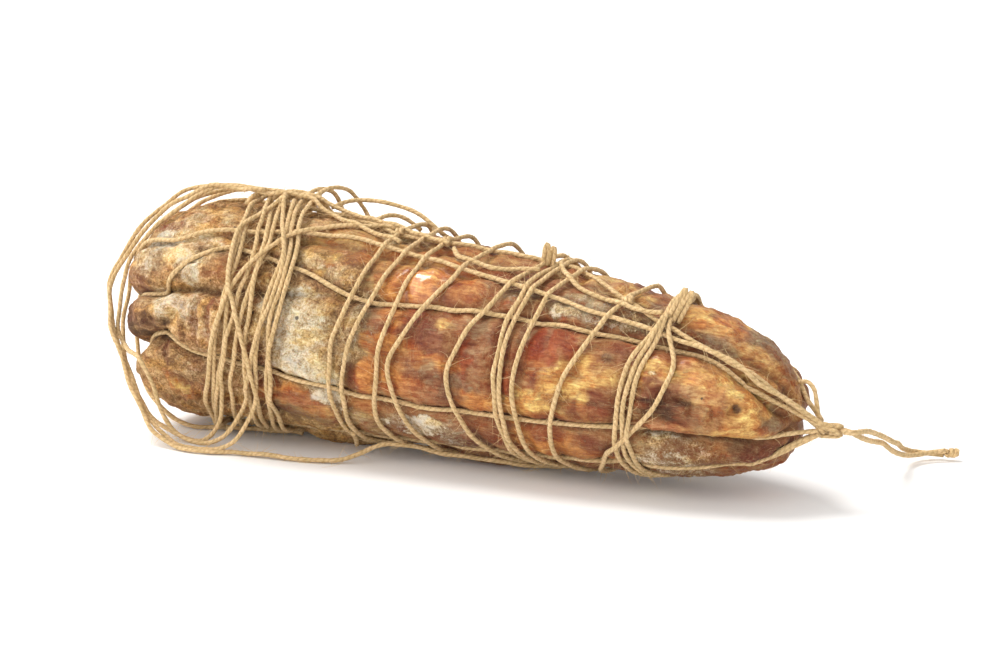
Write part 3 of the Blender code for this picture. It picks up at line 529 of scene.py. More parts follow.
def paintMeat(station, radius, angle, points):  # flesh colour and the layers over it
    warp, warpWide = fractal(points, *paintNoise["near"]), fractal(points, *paintNoise["wide"])
    streaky = fractal(points * paintNoise["streakStretch"], *paintNoise["streaks"])
    stops, names = zip(*casingTones)
    flesh = np.stack([smoothRead(stops, [tones[name][c] for name in names],
                                 station + warpWide * paintNoise["toneWander"]) for c in range(3)], -1)
    mould, darkToneAndShade, bare = (np.zeros_like(station) for _ in range(3))
    hidden, hiddenMould = drawHidden(random.Random(hiddenPatches["seed"]))
    smallShake, wideShake = warp + streaky * 0.5, warp * 0.7 + warpWide * 0.5 + streaky * 0.6
    for tone, *place, strength in hidden + list(patches):
        own = smallShake if min(place[2:]) < paintNoise["smallPatch"] else wideShake
        weight = patchWeight(station, radius, angle, own, *place) * strength
        flesh += (np.array(tones[tone]) - flesh) * weight[:, None]
        darkToneAndShade = np.maximum(darkToneAndShade * (1 - weight), weight * darkTones.get(tone, 0.0))
        bare = np.maximum(bare * (1 - weight), weight * bareTones.get(tone, 0.0))
    for *place, strength in hiddenMould + list(mouldPatches):
        mould = np.maximum(mould, patchWeight(station, radius, angle, warp, *place) * strength)
    dusty = 1 - ramp(station + warpWide * dustPlaces["wander"], *dustPlaces["ends"])
    middle, spread, along, share = dustPlaces["brow"]
    dusty = np.maximum(dusty, hill(angle - middle, spread) * ramp(station, *along) * share)
    low, high, share = dustPlaces["back"]
    dusty = np.maximum(dusty, ramp(angleApart(angle, 180), low, high) * share)
    dusty = dusty * (1 - dustPlaces["bareShare"] * bare)
    for middle, spread, along, share in dustPlaces["thinner"]:
        dusty = dusty * (1 - share * hill(angle - middle, spread) * ramp(station, *along))
    keel = patchWeight(station, radius, angle, warp, *dustPlaces["keel"])
    dusty = np.maximum(dusty, dustPlaces["keelShare"] * keel)
    gloss = np.maximum(*(share * patchWeight(station, radius, angle, warp * shake, *place)
                         for shake, place, share in glossPlaces))
    return flesh, {"mould": mould, "dusty": dusty, "gloss": gloss, "darkToneAndShade": darkToneAndShade}


def makeMeat():
    bm = bmesh.new()
    bmesh.ops.create_uvsphere(bm, u_segments=meatForm["aroundSteps"],
                              v_segments=meatForm["alongSteps"], radius=1.0)
    ball = np.array([v.co[:] for v in bm.verts])
    length = np.arccos(np.clip(-ball[:, 2], -1, 1)) / pi * lineLength[-1]
    angle = np.degrees(np.arctan2(ball[:, 1], -ball[:, 0]))
    station, radius, _, _, _ = readOutline(length)
    base = placeSkin(length, angle, np.zeros_like(length)) / mm

    warp = fractal(base, *casing["swirl"])
    wander = warp * casing["furrowWander"]
    depth, crease = furrowField(station + wander, radius, angle + wander)
    near, press = hoopField(station, angle)
    swell = hoopGroove["swell"] * ramp(near, *hoopGroove["swellReach"]) - hoopGroove["settled"]
    calm, (butt, tip) = casing["calm"], casing["roughEnds"]
    rough = calm + (1 - calm) * np.maximum(ramp(station, *tip), 1 - ramp(station, *butt))
    lumps = (fractal(base, *casing["bulges"]) + rough * fractal(base, *casing["bumps"])
             + rough * fractal(base, *casing["pits"]))
    *wrinkle, height = casing["wrinklesAlong"]
    lumps -= height * creased(base, *wrinkle) * rough
    *wrinkle, height = casing["wrinklesAcross"]
    (come, go), least = casing["middle"], casing["leastAcross"]
    middle = ramp(station, *come) * (1 - ramp(station, *go))
    lumps -= height * creased(base, *wrinkle) * (least + (1 - least) * middle)
    lipRise, crack = lipField(station, radius, angle + warp * casing["lipWander"])
    # the lip's crack gets the painted shade of the creases too
    crease = np.maximum(crease, crack)
    ownLumps = lumpField(station, radius, angle, warp)
    rise = (lumps + swell + ownLumps + lipRise + ribField(station, angle, warp)
            - hoopGroove["depth"] * press - depth)
    placed = placeSkin(length, angle, rise * edgeFade(radius) + footField(station, angle))
    placed[:, 2] = np.maximum(placed[:, 2], 0.0)
    for vert, point in zip(bm.verts, placed):
        vert.co = point
    bm.normal_update()
    if bm.calc_volume(signed=True) < 0:
        bmesh.ops.reverse_faces(bm, faces=bm.faces[:])
    tree = BVHTree.FromBMesh(bm)
    mesh = bpy.data.meshes.new("meat")
    bm.to_mesh(mesh)
    bm.free()
    mesh.shade_smooth()

    flesh, layers = paintMeat(station, radius, angle, base)
    # painted shade for the creases, the hollows and the hoops' press, kept as a layer for the material
    hollow = ramp(-ownLumps, *paintedShade["hollowDepths"])
    sunk = crease * paintedShade["crease"] + press * paintedShade["press"] + hollow * paintedShade["hollow"]
    layers["paintedShade"] = np.clip(sunk, 0, 1) * edgeFade(radius)
    for name, values in layers.items():
        layer = mesh.attributes.new(name, "FLOAT", "POINT")
        layer.data.foreach_set("value", values.astype(np.float32))
    layer = mesh.attributes.new("flesh", "FLOAT_COLOR", "POINT")
    opaque = np.column_stack((flesh, np.ones(len(flesh))))
    layer.data.foreach_set("color", opaque.astype(np.float32).ravel())
    return addObject("meat", mesh), tree


meat, meatTree = makeMeat()
print("meat", len(meat.data.polygons), "faces")


# materials: a new node goes into the tree of the socket that it reads

def fill(node, inputs):
    for name, value in inputs.items():
        socket = node.inputs[name]
        if isinstance(value, bpy.types.NodeSocket):
            node.id_data.links.new(value, socket)
        else:
            socket.default_value = (*value, 1.0) if socket.type == "RGBA" else value


def addNode(tree, kind, inputs={}, **settings):
    node = tree.nodes.new(kind)
    for name, value in settings.items():
        setattr(node, name, value)
    fill(node, inputs)
    return node


def treeOf(*values):
    return next(v.id_data for v in values if isinstance(v, bpy.types.NodeSocket))


def cloud(vector, scale, detail, roughness=0.55, distortion=0.0):  # a scale for each way, or one
    if isinstance(scale, tuple):
        vector, scale = stretched(vector, scale), 1.0
    return addNode(vector.id_data, "ShaderNodeTexNoise", {
        "Vector": vector, "Scale": scale, "Detail": detail, "Roughness": roughness,
        "Distortion": distortion}).outputs["Fac"]


def stretched(vector, scale):
    return addNode(vector.id_data, "ShaderNodeMapping", {"Vector": vector, "Scale": scale}).outputs[0]


def compute(operation, a, b=0.0, clamp=False):
    return addNode(treeOf(a, b), "ShaderNodeMath", {0: a, 1: b},
                   operation=operation, use_clamp=clamp).outputs[0]


def plus(a, b, clamp=False):
    return compute("ADD", a, b, clamp)


def minus(a, b, clamp=False):
    return compute("SUBTRACT", a, b, clamp)


def times(a, b, clamp=False):
    return compute("MULTIPLY", a, b, clamp)


def chained(operation, parts):
    total, *others = parts
    for part in others:
        total = compute(operation, total, part)
    return total


def summed(*parts):  # each part times its share, added up
    return chained("ADD", [times(part, share) for part, share in parts])


def centred(value, share):
    return times(minus(value, 0.5), share)


def between(value, low, high, newLow=0.0, newHigh=1.0, kind="SMOOTHSTEP"):
    return addNode(value.id_data, "ShaderNodeMapRange", {
        "Value": value, "From Min": low, "From Max": high, "To Min": newLow, "To Max": newHigh},
        interpolation_type=kind).outputs["Result"]


def mixTone(factor, a, b, blend="MIX"):
    return addNode(treeOf(factor, a, b), "ShaderNodeMix", {0: factor, 6: a, 7: b},
                   data_type="RGBA", blend_type=blend).outputs[2]


def tinted(tone, factor, by):
    return mixTone(factor, tone, by, "MULTIPLY")


def shaded(tone, shade, powers):  # times a shade, with a power for each channel
    parts = [compute("POWER", shade, power) for power in powers]
    grey = addNode(tone.id_data, "ShaderNodeCombineColor", dict(enumerate(parts))).outputs[0]
    return tinted(tone, 1.0, grey)


def steps(value, stops):  # a colour read along a row of places and tones
    node = addNode(value.id_data, "ShaderNodeValToRGB", {"Fac": value})
    row = node.color_ramp.elements
    while len(row) < len(stops):
        row.new(1.0)
    for mark, (at, tone) in zip(row, stops):
        mark.position, mark.color = at, (*tone, 1.0)
    return node.outputs["Color"]


def scratches(vector, stretch, thin):  # thin broken lines, where two noises cross their middles
    vector = stretched(vector, stretch)
    away = compute("ABSOLUTE", minus(cloud(vector, 1.0, 3, 0.6, 1.2), 0.5))
    broken = between(cloud(vector, 0.35, 2, 0.5), 0.46, 0.60)
    return times(between(away, thin, 0.0), broken)


def readLayer(tree, name, output="Fac"):
    return addNode(tree, "ShaderNodeAttribute", attribute_name=name).outputs[output]


def makeSpeckle():  # scattered round specks as a mask
    group = bpy.data.node_groups.new("speckle", "ShaderNodeTree")
    for name, kind in (("Vector", "Vector"), ("Scale", "Float"), ("Size", "Float"), ("Share", "Float")):
        group.interface.new_socket(name, in_out="INPUT", socket_type="NodeSocket" + kind)
    group.interface.new_socket("Mask", in_out="OUTPUT", socket_type="NodeSocketFloat")
    given = group.nodes.new("NodeGroupInput").outputs
    cells = addNode(group, "ShaderNodeTexVoronoi", {
        "Vector": given["Vector"], "Scale": given["Scale"], "Randomness": 1.0}).outputs
    chance = addNode(group, "ShaderNodeSeparateColor", {"Color": cells["Color"]}).outputs
    own = times(given["Size"], plus(chance[1], 0.35))
    inside = between(cells["Distance"], own, 0.0, 0.0, 2.2, "LINEAR")
    kept = compute("LESS_THAN", chance[0], given["Share"])
    addNode(group, "NodeGroupOutput", {"Mask": times(inside, kept, clamp=True)})
    return group


speckle = makeSpeckle()


def specks(vector, scale, size, share):
    given = {"Vector": vector, "Scale": scale, "Size": size, "Share": share}
    return addNode(vector.id_data, "ShaderNodeGroup", given, node_tree=speckle).outputs["Mask"]


def newMaterial(name):
    material = bpy.data.materials.new(name)
    material.use_nodes = True
    return material, material.node_tree, material.node_tree.nodes["Principled BSDF"]


meatClouds = {  # scale, detail, roughness and distortion
    "mottle": (140, 8, 0.66, 0.3), "along": ((75, 520, 520), 6, 0.66),
    "fibre": ((110, 1500, 1500), 4, 0.68), "bands": ((400, 60, 60), 3, 0.55, 0.3),
    "redder": ((95, 210, 210), 6, 0.68), "paler": ((169, 364, 364), 6, 0.70),
    "kinds": ((80, 130, 130), 4, 0.62),
}
meatFinish = {
    "swirl": (45, 0.006),  # scale and reach in metres of the bend in most clouds
    # dusty mould from its hollows to its crests
    "dust": ((0.0, (0.17, 0.10, 0.052)), (0.28, (0.35, 0.22, 0.112)), (0.52, (0.57, 0.395, 0.205)),
             (0.76, (0.77, 0.63, 0.41)), (1.0, (0.93, 0.85, 0.67))),
    "shade": {"mottle": (0.32, 0.68, 0.78, 1.20), "fine": (0.3, 0.7, 0.90, 1.12),
              "along": (0.34, 0.66, 0.72, 1.20), "fibre": (0.32, 0.68, 0.76, 1.18)},
    "shadePowers": (0.8, 1.4, 1.7),
    "redder": (0.76, 0.42, 0.28), "paler": (1.28, 1.48, 1.50), "foldTone": (0.50, 0.36, 0.28),
    "yellower": (1.14, 1.04, 0.74), "greyer": (0.78, 0.80, 0.88), "fleshInDust": (1.9, 2.1, 2.3),
    # crease is the near-black tone of the painted shade in creases, hollows and under the hoops
    "streak": (0.62, 0.41, 0.21), "speck": (0.03, 0.028, 0.027), "crease": (0.075, 0.035, 0.018),
    "specks": (95, 0.085, 0.30),  # scale, size and share
    "roughFlesh": 0.40, "roughDust": 0.88, "roughGloss": 0.20,
    "relief": {"along": 0.7, "fibre": 0.35, "bands": 0.35, "lines": 0.25, "folds": -0.75,
               "mottle": 1.3, "dots": -0.6, "cover": 0.4},
    "reliefDepth": 0.0012, "reliefStrength": 0.95,
}


def makeMeatMaterial():
    material, tree, shader = newMaterial("curedMeat")
    here = addNode(tree, "ShaderNodeTexCoord").outputs["Object"]
    flesh = readLayer(tree, "flesh", "Color")
    mould, dusty, gloss, paintedShade, darkToneAndShade = (
        readLayer(tree, name) for name in ("mould", "dusty", "gloss", "paintedShade", "darkToneAndShade"))
    scale, reach = meatFinish["swirl"]
    swirl = addNode(tree, "ShaderNodeTexNoise", {"Vector": here, "Scale": scale, "Detail": 2.0})
    swirl = addNode(tree, "ShaderNodeVectorMath", {0: swirl.outputs["Color"], 1: (0.5, 0.5, 0.5)},
                    operation="SUBTRACT").outputs[0]
    bent = addNode(tree, "ShaderNodeVectorMath", {0: swirl, 1: (reach, reach, reach), 2: here},
                   operation="MULTIPLY_ADD").outputs[0]
    seen = {name: cloud(bent, *values) for name, values in meatClouds.items()}
    seen["fine"], grain = cloud(here, 520, 6, 0.72), cloud(here, 1500, 3, 0.7)
    mottle, fine = seen["mottle"], seen["fine"]
    lines = compute("MAXIMUM", scratches(bent, (50, 400, 400), 0.03),
                    times(scratches(bent, (300, 90, 90), 0.025), 0.7))
    folds = compute("MAXIMUM", scratches(bent, (110, 260, 260), 0.045),
                    scratches(here, (230, 150, 150), 0.035))
    folds = times(folds, between(dusty, 0.0, 0.8, 0.12, 1.0))

    # cloudy flesh with lengthwise fibres, redder where it is darker
    shade = chained("MULTIPLY", [between(seen[name], *span)
                                 for name, span in meatFinish["shade"].items()])
    flesh = tinted(flesh, between(seen["redder"], 0.48, 0.62, 0.0, 0.78), meatFinish["redder"])
    flesh = tinted(flesh, between(seen["paler"], 0.55, 0.68, 0.0, 0.50), meatFinish["paler"])
    colour = shaded(flesh, shade, meatFinish["shadePowers"])
    colour = mixTone(times(lines, 0.42), colour, meatFinish["streak"])
    colour = tinted(colour, times(folds, 0.5), meatFinish["foldTone"])

    # dust and mould in grains, thick where their layers say so
    patchy = summed((mottle, 0.42), (fine, 0.58))
    value = plus(centred(patchy, 3.1), plus(times(mould, 0.40), 0.46))
    # the dust is darker over dark patches, partly their real tone and partly the painted shade of the
    # dark tone
    value = plus(minus(value, times(darkToneAndShade, 0.32)), centred(grain, 1.3), clamp=True)
    crust = tinted(steps(value, meatFinish["dust"]), between(mould, 0.0, 0.9, 0.55, 0.12),
                   tinted(flesh, 1.0, meatFinish["fleshInDust"]))
    crust = tinted(crust, between(seen["kinds"], 0.50, 0.62, 0.0, 0.8), meatFinish["yellower"])
    crust = tinted(crust, between(seen["kinds"], 0.47, 0.36, 0.0, 0.8), meatFinish["greyer"])
    spread = plus(centred(patchy, 2.6), centred(grain, 1.0))
    veil = between(plus(times(dusty, 1.25), spread), 0.30, 1.0, 0.0, 0.92)
    bloom = between(plus(times(mould, 1.2), spread), 0.45, 1.0, 0.0, 0.95)
    cover = compute("MAXIMUM", veil, bloom, clamp=True)
    dots = specks(here, *meatFinish["specks"])
    colour = mixTone(times(dots, 0.8), mixTone(cover, colour, crust), meatFinish["speck"])
    # painted shade: near-black in the creases, the hollows and under the hoops
    colour = mixTone(times(paintedShade, between(fine, 0.2, 0.7, 1.0, 0.6)), colour, meatFinish["crease"])

    rough = plus(between(cover, 0.0, 0.8, meatFinish["roughFlesh"], meatFinish["roughDust"]),
                 between(fine, 0.3, 0.7, -0.08, 0.12))
    rough = addNode(tree, "ShaderNodeMix", {0: gloss, 2: rough, 3: meatFinish["roughGloss"]},
                    data_type="FLOAT").outputs[0]
    seen |= {"lines": lines, "folds": folds, "dots": dots, "cover": cover}
    height = plus(times(fine, 0.9), times(grain, plus(times(cover, 0.7), 0.12)))
    relief = meatFinish["relief"].items()
    height = plus(height, summed(*((seen[name], share) for name, share in relief)))
    bump = addNode(tree, "ShaderNodeBump", {
        "Height": times(height, between(gloss, 0.0, 1.0, 1.0, 0.10)),
        "Strength": meatFinish["reliefStrength"], "Distance": meatFinish["reliefDepth"]})
    fill(shader, {
        "Base Color": colour, "Roughness": rough, "Normal": bump.outputs["Normal"],
        "Coat Weight": times(gloss, 0.9), "Coat Roughness": 0.12, "Subsurface Weight": 0.10,
        "Subsurface Radius": (1.0, 0.42, 0.2), "Subsurface Scale": 0.0025,
        "Specular IOR Level": 0.30})
    return material


twineFinish = {
    # dark is the tone of dark fibres and chaff, and of the painted shade in the valleys between the
    # plies
    "light": (0.86, 0.65, 0.36), "mid": (0.72, 0.475, 0.215), "dark": (0.40, 0.21, 0.075),
    "pitch": 3.7, "rough": 0.86, "chaff": (0.13, 0.22), "reliefDepth": 0.0004,
}


def makeTwineMaterial():
    material, tree, shader = newMaterial("juteTwine")
    lay, dark = readLayer(tree, "lay", "Vector"), twineFinish["dark"]
    fibres = cloud(lay, (6.5, 6.5, 1.3), 6, 0.70, 0.25)
    strands = cloud(lay, (3.0, 3.0, 0.5), 3, 0.6)
    length = cloud(lay, (0.3, 0.3, 0.16), 3, 0.6)
    at = addNode(tree, "ShaderNodeSeparateXYZ", {"Vector": lay}).outputs  # two plies wind round it
    turn = plus(times(at[2], tau / twineFinish["pitch"]), times(length, 5.0))
    across = plus(times(at[0], compute("COSINE", turn)), times(at[1], compute("SINE", turn)))
    # how deep in a valley between the plies: it sinks the bump and sets the painted shade there
    valley = compute("POWER", minus(1.0, compute("ABSOLUTE", across), clamp=True), 1.6)
    colour = mixTone(between(fibres, 0.40, 0.62), twineFinish["mid"], twineFinish["light"])
    colour = mixTone(between(fibres, 0.45, 0.30, 0.0, 0.75), colour, dark)
    colour = mixTone(between(strands, 0.54, 0.76, 0.0, 0.55), colour, dark)
    colour = shaded(colour, between(length, 0.3, 0.7, 0.86, 1.10), (1.0, 1.0, 1.4))
    # painted shade in the valleys between the two plies
    colour = mixTone(times(valley, 0.46), colour, dark)
    chaff = specks(stretched(lay, (0.6, 0.6, 0.35)), 1.0, *twineFinish["chaff"])
    colour = mixTone(times(chaff, 0.6), colour, dark)
    height = minus(plus(fibres, times(strands, 0.5)), times(valley, 0.9))
    bump = addNode(tree, "ShaderNodeBump", {
        "Height": height, "Strength": 0.9, "Distance": twineFinish["reliefDepth"]})
    fill(shader, {"Base Color": colour, "Roughness": twineFinish["rough"], "Sheen Weight": 0.12,
                  "Specular IOR Level": 0.2, "Normal": bump.outputs["Normal"]})
    return material


def makeFluffMaterial():
    material, tree, shader = newMaterial("juteFluff")
    here = addNode(tree, "ShaderNodeTexCoord").outputs["Object"]
    fill(shader, {"Base Color": mixTone(cloud(here, 160, 2), twineFinish["mid"], twineFinish["light"]),
                  "Roughness": 0.8})
    return material


meat.data.materials.append(makeMeatMaterial())
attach(meat, "root")
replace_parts(meat, "coppa")
twineMaterial, fluffMaterial = makeTwineMaterial(), makeFluffMaterial()
print("materials made")


# the twine

twineForm = {
    "radius": 0.98, "plyDepth": 0.09, "sides": 12, "step": 1.15, "pitch": 13.0,
    "swell": (9.0, 0.12), "knobs": (2.6, 0.08),  # length in mm and share of the radius
    "sink": 0.50, "loopSink": 1.1, "runSink": 0.7, "deepest": 5.0, "spacing": 1.85,
    "steepest": 0.42, "floor": 1.35, "passes": 4, "push": 0.9,
    "smoothing": (0.04, 0.08, 0.13, 0.16, 0.18, 0.16, 0.13, 0.08, 0.04),
}
wobbleForm = {"size": 0.15, "fade": 8.0, "waves": 4, "lengths": (16, 46)}
# how the bundle's turns hang below and rise over the top, and in how many waves they stray
bundleForm = {"hang": 1.5, "crown": 2.6, "stray": 3.0, "waves": (1, 2, 3), "seed": 11}
standOff = {"slack": (112, 30), "hang": (-58, 20), "crown": (88, 24)}  # clock angle, half-width
hoopOff = 0.8
wholeTurn = np.arange(-90, 270, 5)
seeds = {"runs": 0, "hoops": 20, "turns": 40, "loops": 60, "table": 70, "strays": 90}


class Laid:  # centre-line points of all the twine laid so far
    points = []
    tree = None


def lengthAlong(points):
    return np.concatenate(([0.0], np.cumsum(np.linalg.norm(np.diff(points, axis=0), axis=1))))


def evenPoints(route, closed, step):  # even steps, in metres, on a smooth curve through the route
    route = [tuple(p) for p in route]
    if closed:
        route = route[-2:] + route + route[:3]
    keys = np.arange(len(route))
    first, last = (2, len(route) - 3) if closed else (0, len(route) - 1)
    at = np.linspace(first, last, (last - first) * 24 + 1)
    fine = np.stack([smoothRead(keys, column, at) for column in zip(*route)], -1)
    length = lengthAlong(fine)
    count = max(3, round(length[-1] / (step * mm)))
    want = np.linspace(0, length[-1], count + 1)
    points = np.stack([np.interp(want, length, fine[:, c]) for c in range(3)], -1)
    return points[:-1] if closed else points


def outwardFrom(points):  # the way off the meat, from its centre line
    station = np.clip(points[:, 0] / mm + originStation, 38, 272)
    _, height = girthAt(station)
    centre = np.stack(((station - originStation) * mm, np.zeros_like(station), height * mm), -1)
    way = points - centre
    return way / np.linalg.norm(way, axis=1)[:, None]


def settle(points, closed, sink):  # lifts twine off the meat and off the twine under it
    spacing, drop = twineForm["spacing"] * mm, twineForm["steepest"] * twineForm["step"] * mm
    way = outwardFrom(points)
    lift = np.zeros(len(points))
    for _ in range(twineForm["passes"]):
        for i, (point, out) in enumerate(zip(points, way)):
            at = Vector(point + out * lift[i])
            near, normal, _, gap = meatTree.find_nearest(at)
            buried = (at - near).dot(normal) < 0 and gap < twineForm["deepest"] * mm
            short = sink * mm + gap if buried else sink * mm - gap
            if short > 0:
                lift[i] += short
                at = Vector(point + out * lift[i])
            if Laid.tree:
                _, _, apart = Laid.tree.find(at)
                if apart < spacing:
                    lift[i] += (spacing - apart) * twineForm["push"]
        for _ in range(2 if closed else 1):
            for i in range(0 if closed else 1, len(lift)):
                lift[i] = max(lift[i], lift[i - 1] - drop)
            for i in range(len(lift) - 1 if closed else len(lift) - 2, -1, -1):
                lift[i] = max(lift[i], lift[(i + 1) % len(lift)] - drop)
    around = np.pad(lift, len(twineForm["smoothing"]) // 2, mode="wrap" if closed else "edge")
    lift = np.convolve(around, twineForm["smoothing"], mode="valid")
    points = points + way * lift[:, None]
    points[:, 2] = np.maximum(points[:, 2], twineForm["floor"] * mm)
    return points


def remember(points):
    Laid.points += [Vector(p) for p in points]
    Laid.tree = KDTree(len(Laid.points))
    for i, point in enumerate(Laid.points):
        Laid.tree.insert(point, i)
    Laid.tree.balance()


def wobble(points, closed, seed):  # real twine never runs quite true
    length, total = np.arange(len(points)) * twineForm["step"], len(points) * twineForm["step"]
    fade = 1.0 if closed else np.minimum(np.minimum(length, length[::-1]) / wobbleForm["fade"], 1.0)
    shift = []
    for axis in range(3):
        wave = np.zeros(len(points))
        rng = random.Random(seed * 31 + axis)
        for _ in range(wobbleForm["waves"]):
            turns = max(1, round(total / rng.uniform(*wobbleForm["lengths"])))
            wave += np.sin(length / total * tau * turns + rng.uniform(0, tau))
        shift.append(wave * wobbleForm["size"] * fade)
    return points + np.stack(shift, -1) * mm


def addSpline(curve, points, closed=False):
    spline = curve.splines.new("POLY")
    spline.points.add(len(points) - 1)
    spline.use_cyclic_u = closed
    for target, point in zip(spline.points, points):
        target.co = (*point, 1.0)
    return spline.points


def plyProfile():  # two plies side by side, as one outline
    curve = bpy.data.curves.new("plyProfile", "CURVE")
    ring = []
    for k in range(twineForm["sides"]):
        turn = tau * k / twineForm["sides"]
        reach = twineForm["radius"] * mm * (1 - twineForm["plyDepth"] * (1 - abs(cos(turn))) ** 1.3)
        ring.append((reach * cos(turn), reach * sin(turn), 0))
    addSpline(curve, ring, True)
    return addObject("plyProfile", curve)


profile = plyProfile()


def newCurve(name):
    curve = bpy.data.curves.new(name, "CURVE")
    curve.dimensions = "3D"
    return curve


def meshFrom(name, curve, material):
    holder = addObject(name + "Curve", curve)
    bpy.context.view_layer.update()
    mesh = bpy.data.meshes.new_from_object(holder.evaluated_get(bpy.context.evaluated_depsgraph_get()))
    bpy.data.objects.remove(holder)
    mesh.name = name
    mesh.materials.clear()
    mesh.materials.append(material)
    return mesh


def addTwine(name, mesh):
    made = addObject(name, mesh)
    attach(made, "root")
    return made


def closeTubes(mesh):
    bm = bmesh.new()
    bm.from_mesh(mesh)
    bmesh.ops.holes_fill(bm, edges=[e for e in bm.edges if e.is_boundary], sides=0)
    bmesh.ops.recalc_face_normals(bm, faces=bm.faces[:])
    bm.to_mesh(mesh)
    bm.free()


def makeTwine(name, strands, thickness=1.0):  # strands: lists of points and whether each is a ring
    curve = newCurve(name)
    curve.bevel_mode, curve.bevel_object = "OBJECT", profile
    lays = []
    for number, (points, closed) in enumerate(strands):
        length = lengthAlong(np.vstack((points, points[:1])) if closed else points) / mm
        turns = length[-1] / twineForm["pitch"]
        turns = max(1, round(turns)) if closed else turns
        rng = random.Random(number * 7 + len(name))
        phase, seed = rng.uniform(0, tau), rng.uniform(0, 400)
        for i, target in enumerate(addSpline(curve, points, closed)):
            target.tilt = phase + tau * turns * length[i] / length[-1]
            target.radius = thickness * (1.0 + sum(
                share * noise.noise(Vector((length[i] / size, seed, depth)))
                for (size, share), depth in ((twineForm["swell"], 0.0), (twineForm["knobs"], 5.0))))
            for k in range(twineForm["sides"]):
                turn = tau * k / twineForm["sides"]
                lays.append((cos(turn), sin(turn), length[i] + seed))
    mesh = meshFrom(name, curve, twineMaterial)
    if len(mesh.vertices) != len(lays):
        print("note:", name, "has", len(mesh.vertices), "points for", len(lays))
    lay = mesh.attributes.new("lay", "FLOAT_VECTOR", "POINT")
    lay.data.foreach_set("vector", np.array(lays, np.float32).ravel())
    closeTubes(mesh)
    mesh.shade_smooth()
    return addTwine(name, mesh)


def place(station, depth, height):
    return ((station - originStation) * mm, depth * mm, height * mm)


def placeAll(points):
    return [place(*p) for p in points]


def outAt(angle):  # straight out from the centre line at a clock angle in degrees
    return Vector((0, -cos(radians(angle)), sin(radians(angle))))


def openStrand(route, step=0.9):  # a short strand that lies where its route says
    return evenPoints(route, False, step), False


def layStrand(route, closed, seed, sink=twineForm["sink"]):
    points = wobble(evenPoints(route, closed, twineForm["step"]), closed, seed)
    points = settle(points, closed, sink)
    remember(points)
    return points, closed


runSet = {
    "start": 8.0, "spacing": 3.5, "leaves": 285.0, "off": 0.9, "tautOff": 0.6,
    "spread": 0.12,  # how far round the tip's knot the runs' ends stay apart
    "buried": {"flank": (262, 24, 3.4)},  # station, half-length and depth in its crease
}


def runRoute(run):
    last = np.interp(runSet["leaves"], lineStation, lineLength)
    length = np.arange(runSet["start"], last, runSet["spacing"])
    station = np.interp(length, lineLength, lineStation)
    taut = run in tautAngles
    angle = smoothRead(runStations, (tautAngles if taut else runAngles)[run], station)
    route = list(placeSkin(length, angle, runSet["tautOff"]) if taut
                 else skinPoint(length, angle, runSet["off"]))
    last, knot = Vector(route[-1]), Vector(place(*knots["tip"]["at"]))
    end = knot + (last - knot) * runSet["spread"]
    return route + [tuple(last.lerp(knot, 0.5)), tuple(last.lerp(knot, 0.8)), tuple(end)]


def bury(points, station, halfLength, depth):
    sink = hill(points[:, 0] / mm + originStation - station, halfLength) ** 0.5 * depth * mm
    return points - outwardFrom(points) * sink[:, None]


def hoopPoints(stations, angle, slack, hang=0.0, crown=0.0, stray=0.0, seed=0):
    station = hoopStation(stations, angle)
    if stray:
        rng = random.Random(seed)
        for waves in bundleForm["waves"]:
            station = station + stray * rng.uniform(0.4, 1.0) / waves * np.sin(
                np.radians(angle) * waves + rng.uniform(0, tau))
    radius, height = girthAt(station)
    reach = radius + hoopOff
    for share, name in ((slack, "slack"), (hang, "hang"), (crown, "crown")):
        reach = reach + share * hillRound(angle, *standOff[name])
    turn = np.radians(angle)
    x, y = station - originStation, -reach * np.cos(turn)
    return list(np.stack((x, y, height + reach * np.sin(turn)), -1) * mm)


def freeRoute(places):  # points of station, clock angle and height off the outline
    route = []
    for station, angle, off in places:
        radius, middle = girthAt(station)
        turn = radians(angle)
        route.append(place(station, -(radius + off) * cos(turn), middle + (radius + off) * sin(turn)))
    return route


# loose strands: slack arcs behind the ridge, strands beside its run, strands across the bundle
strays = (
    ((86, 98, 3), (92, 106, 7.5), (104, 109, 9), (118, 110, 8), (129, 111, 3.5), (134, 116, 1)),
    ((110, 90, 1), (112, 99, 4), (117, 106, 4.5), (123, 112, 1)),
    ((196, 88, 1), (203, 76, 0.9), (213, 68, 0.9), (226, 64, 0.9), (239, 61, 1.0), (247, 62, 1.2)),
    ((152, 79, 1), (158, 71, 0.8), (168, 68, 0.8), (182, 70, 0.9), (192, 74, 1.0)),
    ((122, 87, 1.2), (111, 81, 1.6), (99, 73, 2.0), (90, 63, 2.2), (80, 50, 2.5), (70, 28, 2.6),
     (64, 4, 2.5), (58, -20, 2.3), (50, -44, 2.4), (46, -70, 2.0)),
    ((70, 86, 4), (66, 70, 3), (63, 52, 2.8), (68, 28, 2.7), (76, 4, 2.6), (79, -20, 2.4),
     (76, -42, 2.4), (70, -64, 2.0)),
    ((57, 86, 5.5), (56, 82, 5.2), (55.5, 77, 3.2)),
    ((116, -52, 1.4), (115, -59, 2.2), (113, -65, 4)),
)
# each slack loop over the butt goes on along the ridge, and rises in front as one of the turns
loopTurns = {
    "butt_loop_1": ("turn_07", ((150, 79, 1.0), (135, 83, 1.2), (120, 87, 1.7), (105, 91, 2.4),
                                (92, 93, 3.6), (80, 92, 5.0))),
    "butt_loop_2": ("turn_05", ((131, 72, 0.9), (118, 75, 1.2), (104, 80, 1.7), (90, 86, 3.2),
                                (78, 90, 5.0))),
    "butt_loop_3": ("turn_03", ((84, 97, 4.6), (74, 95, 5.4))),
}
# clock angles of a turn without its front, and of that front
openTurn, frontTurn = np.arange(84, 285, 5), np.arange(-34, 88, 10)
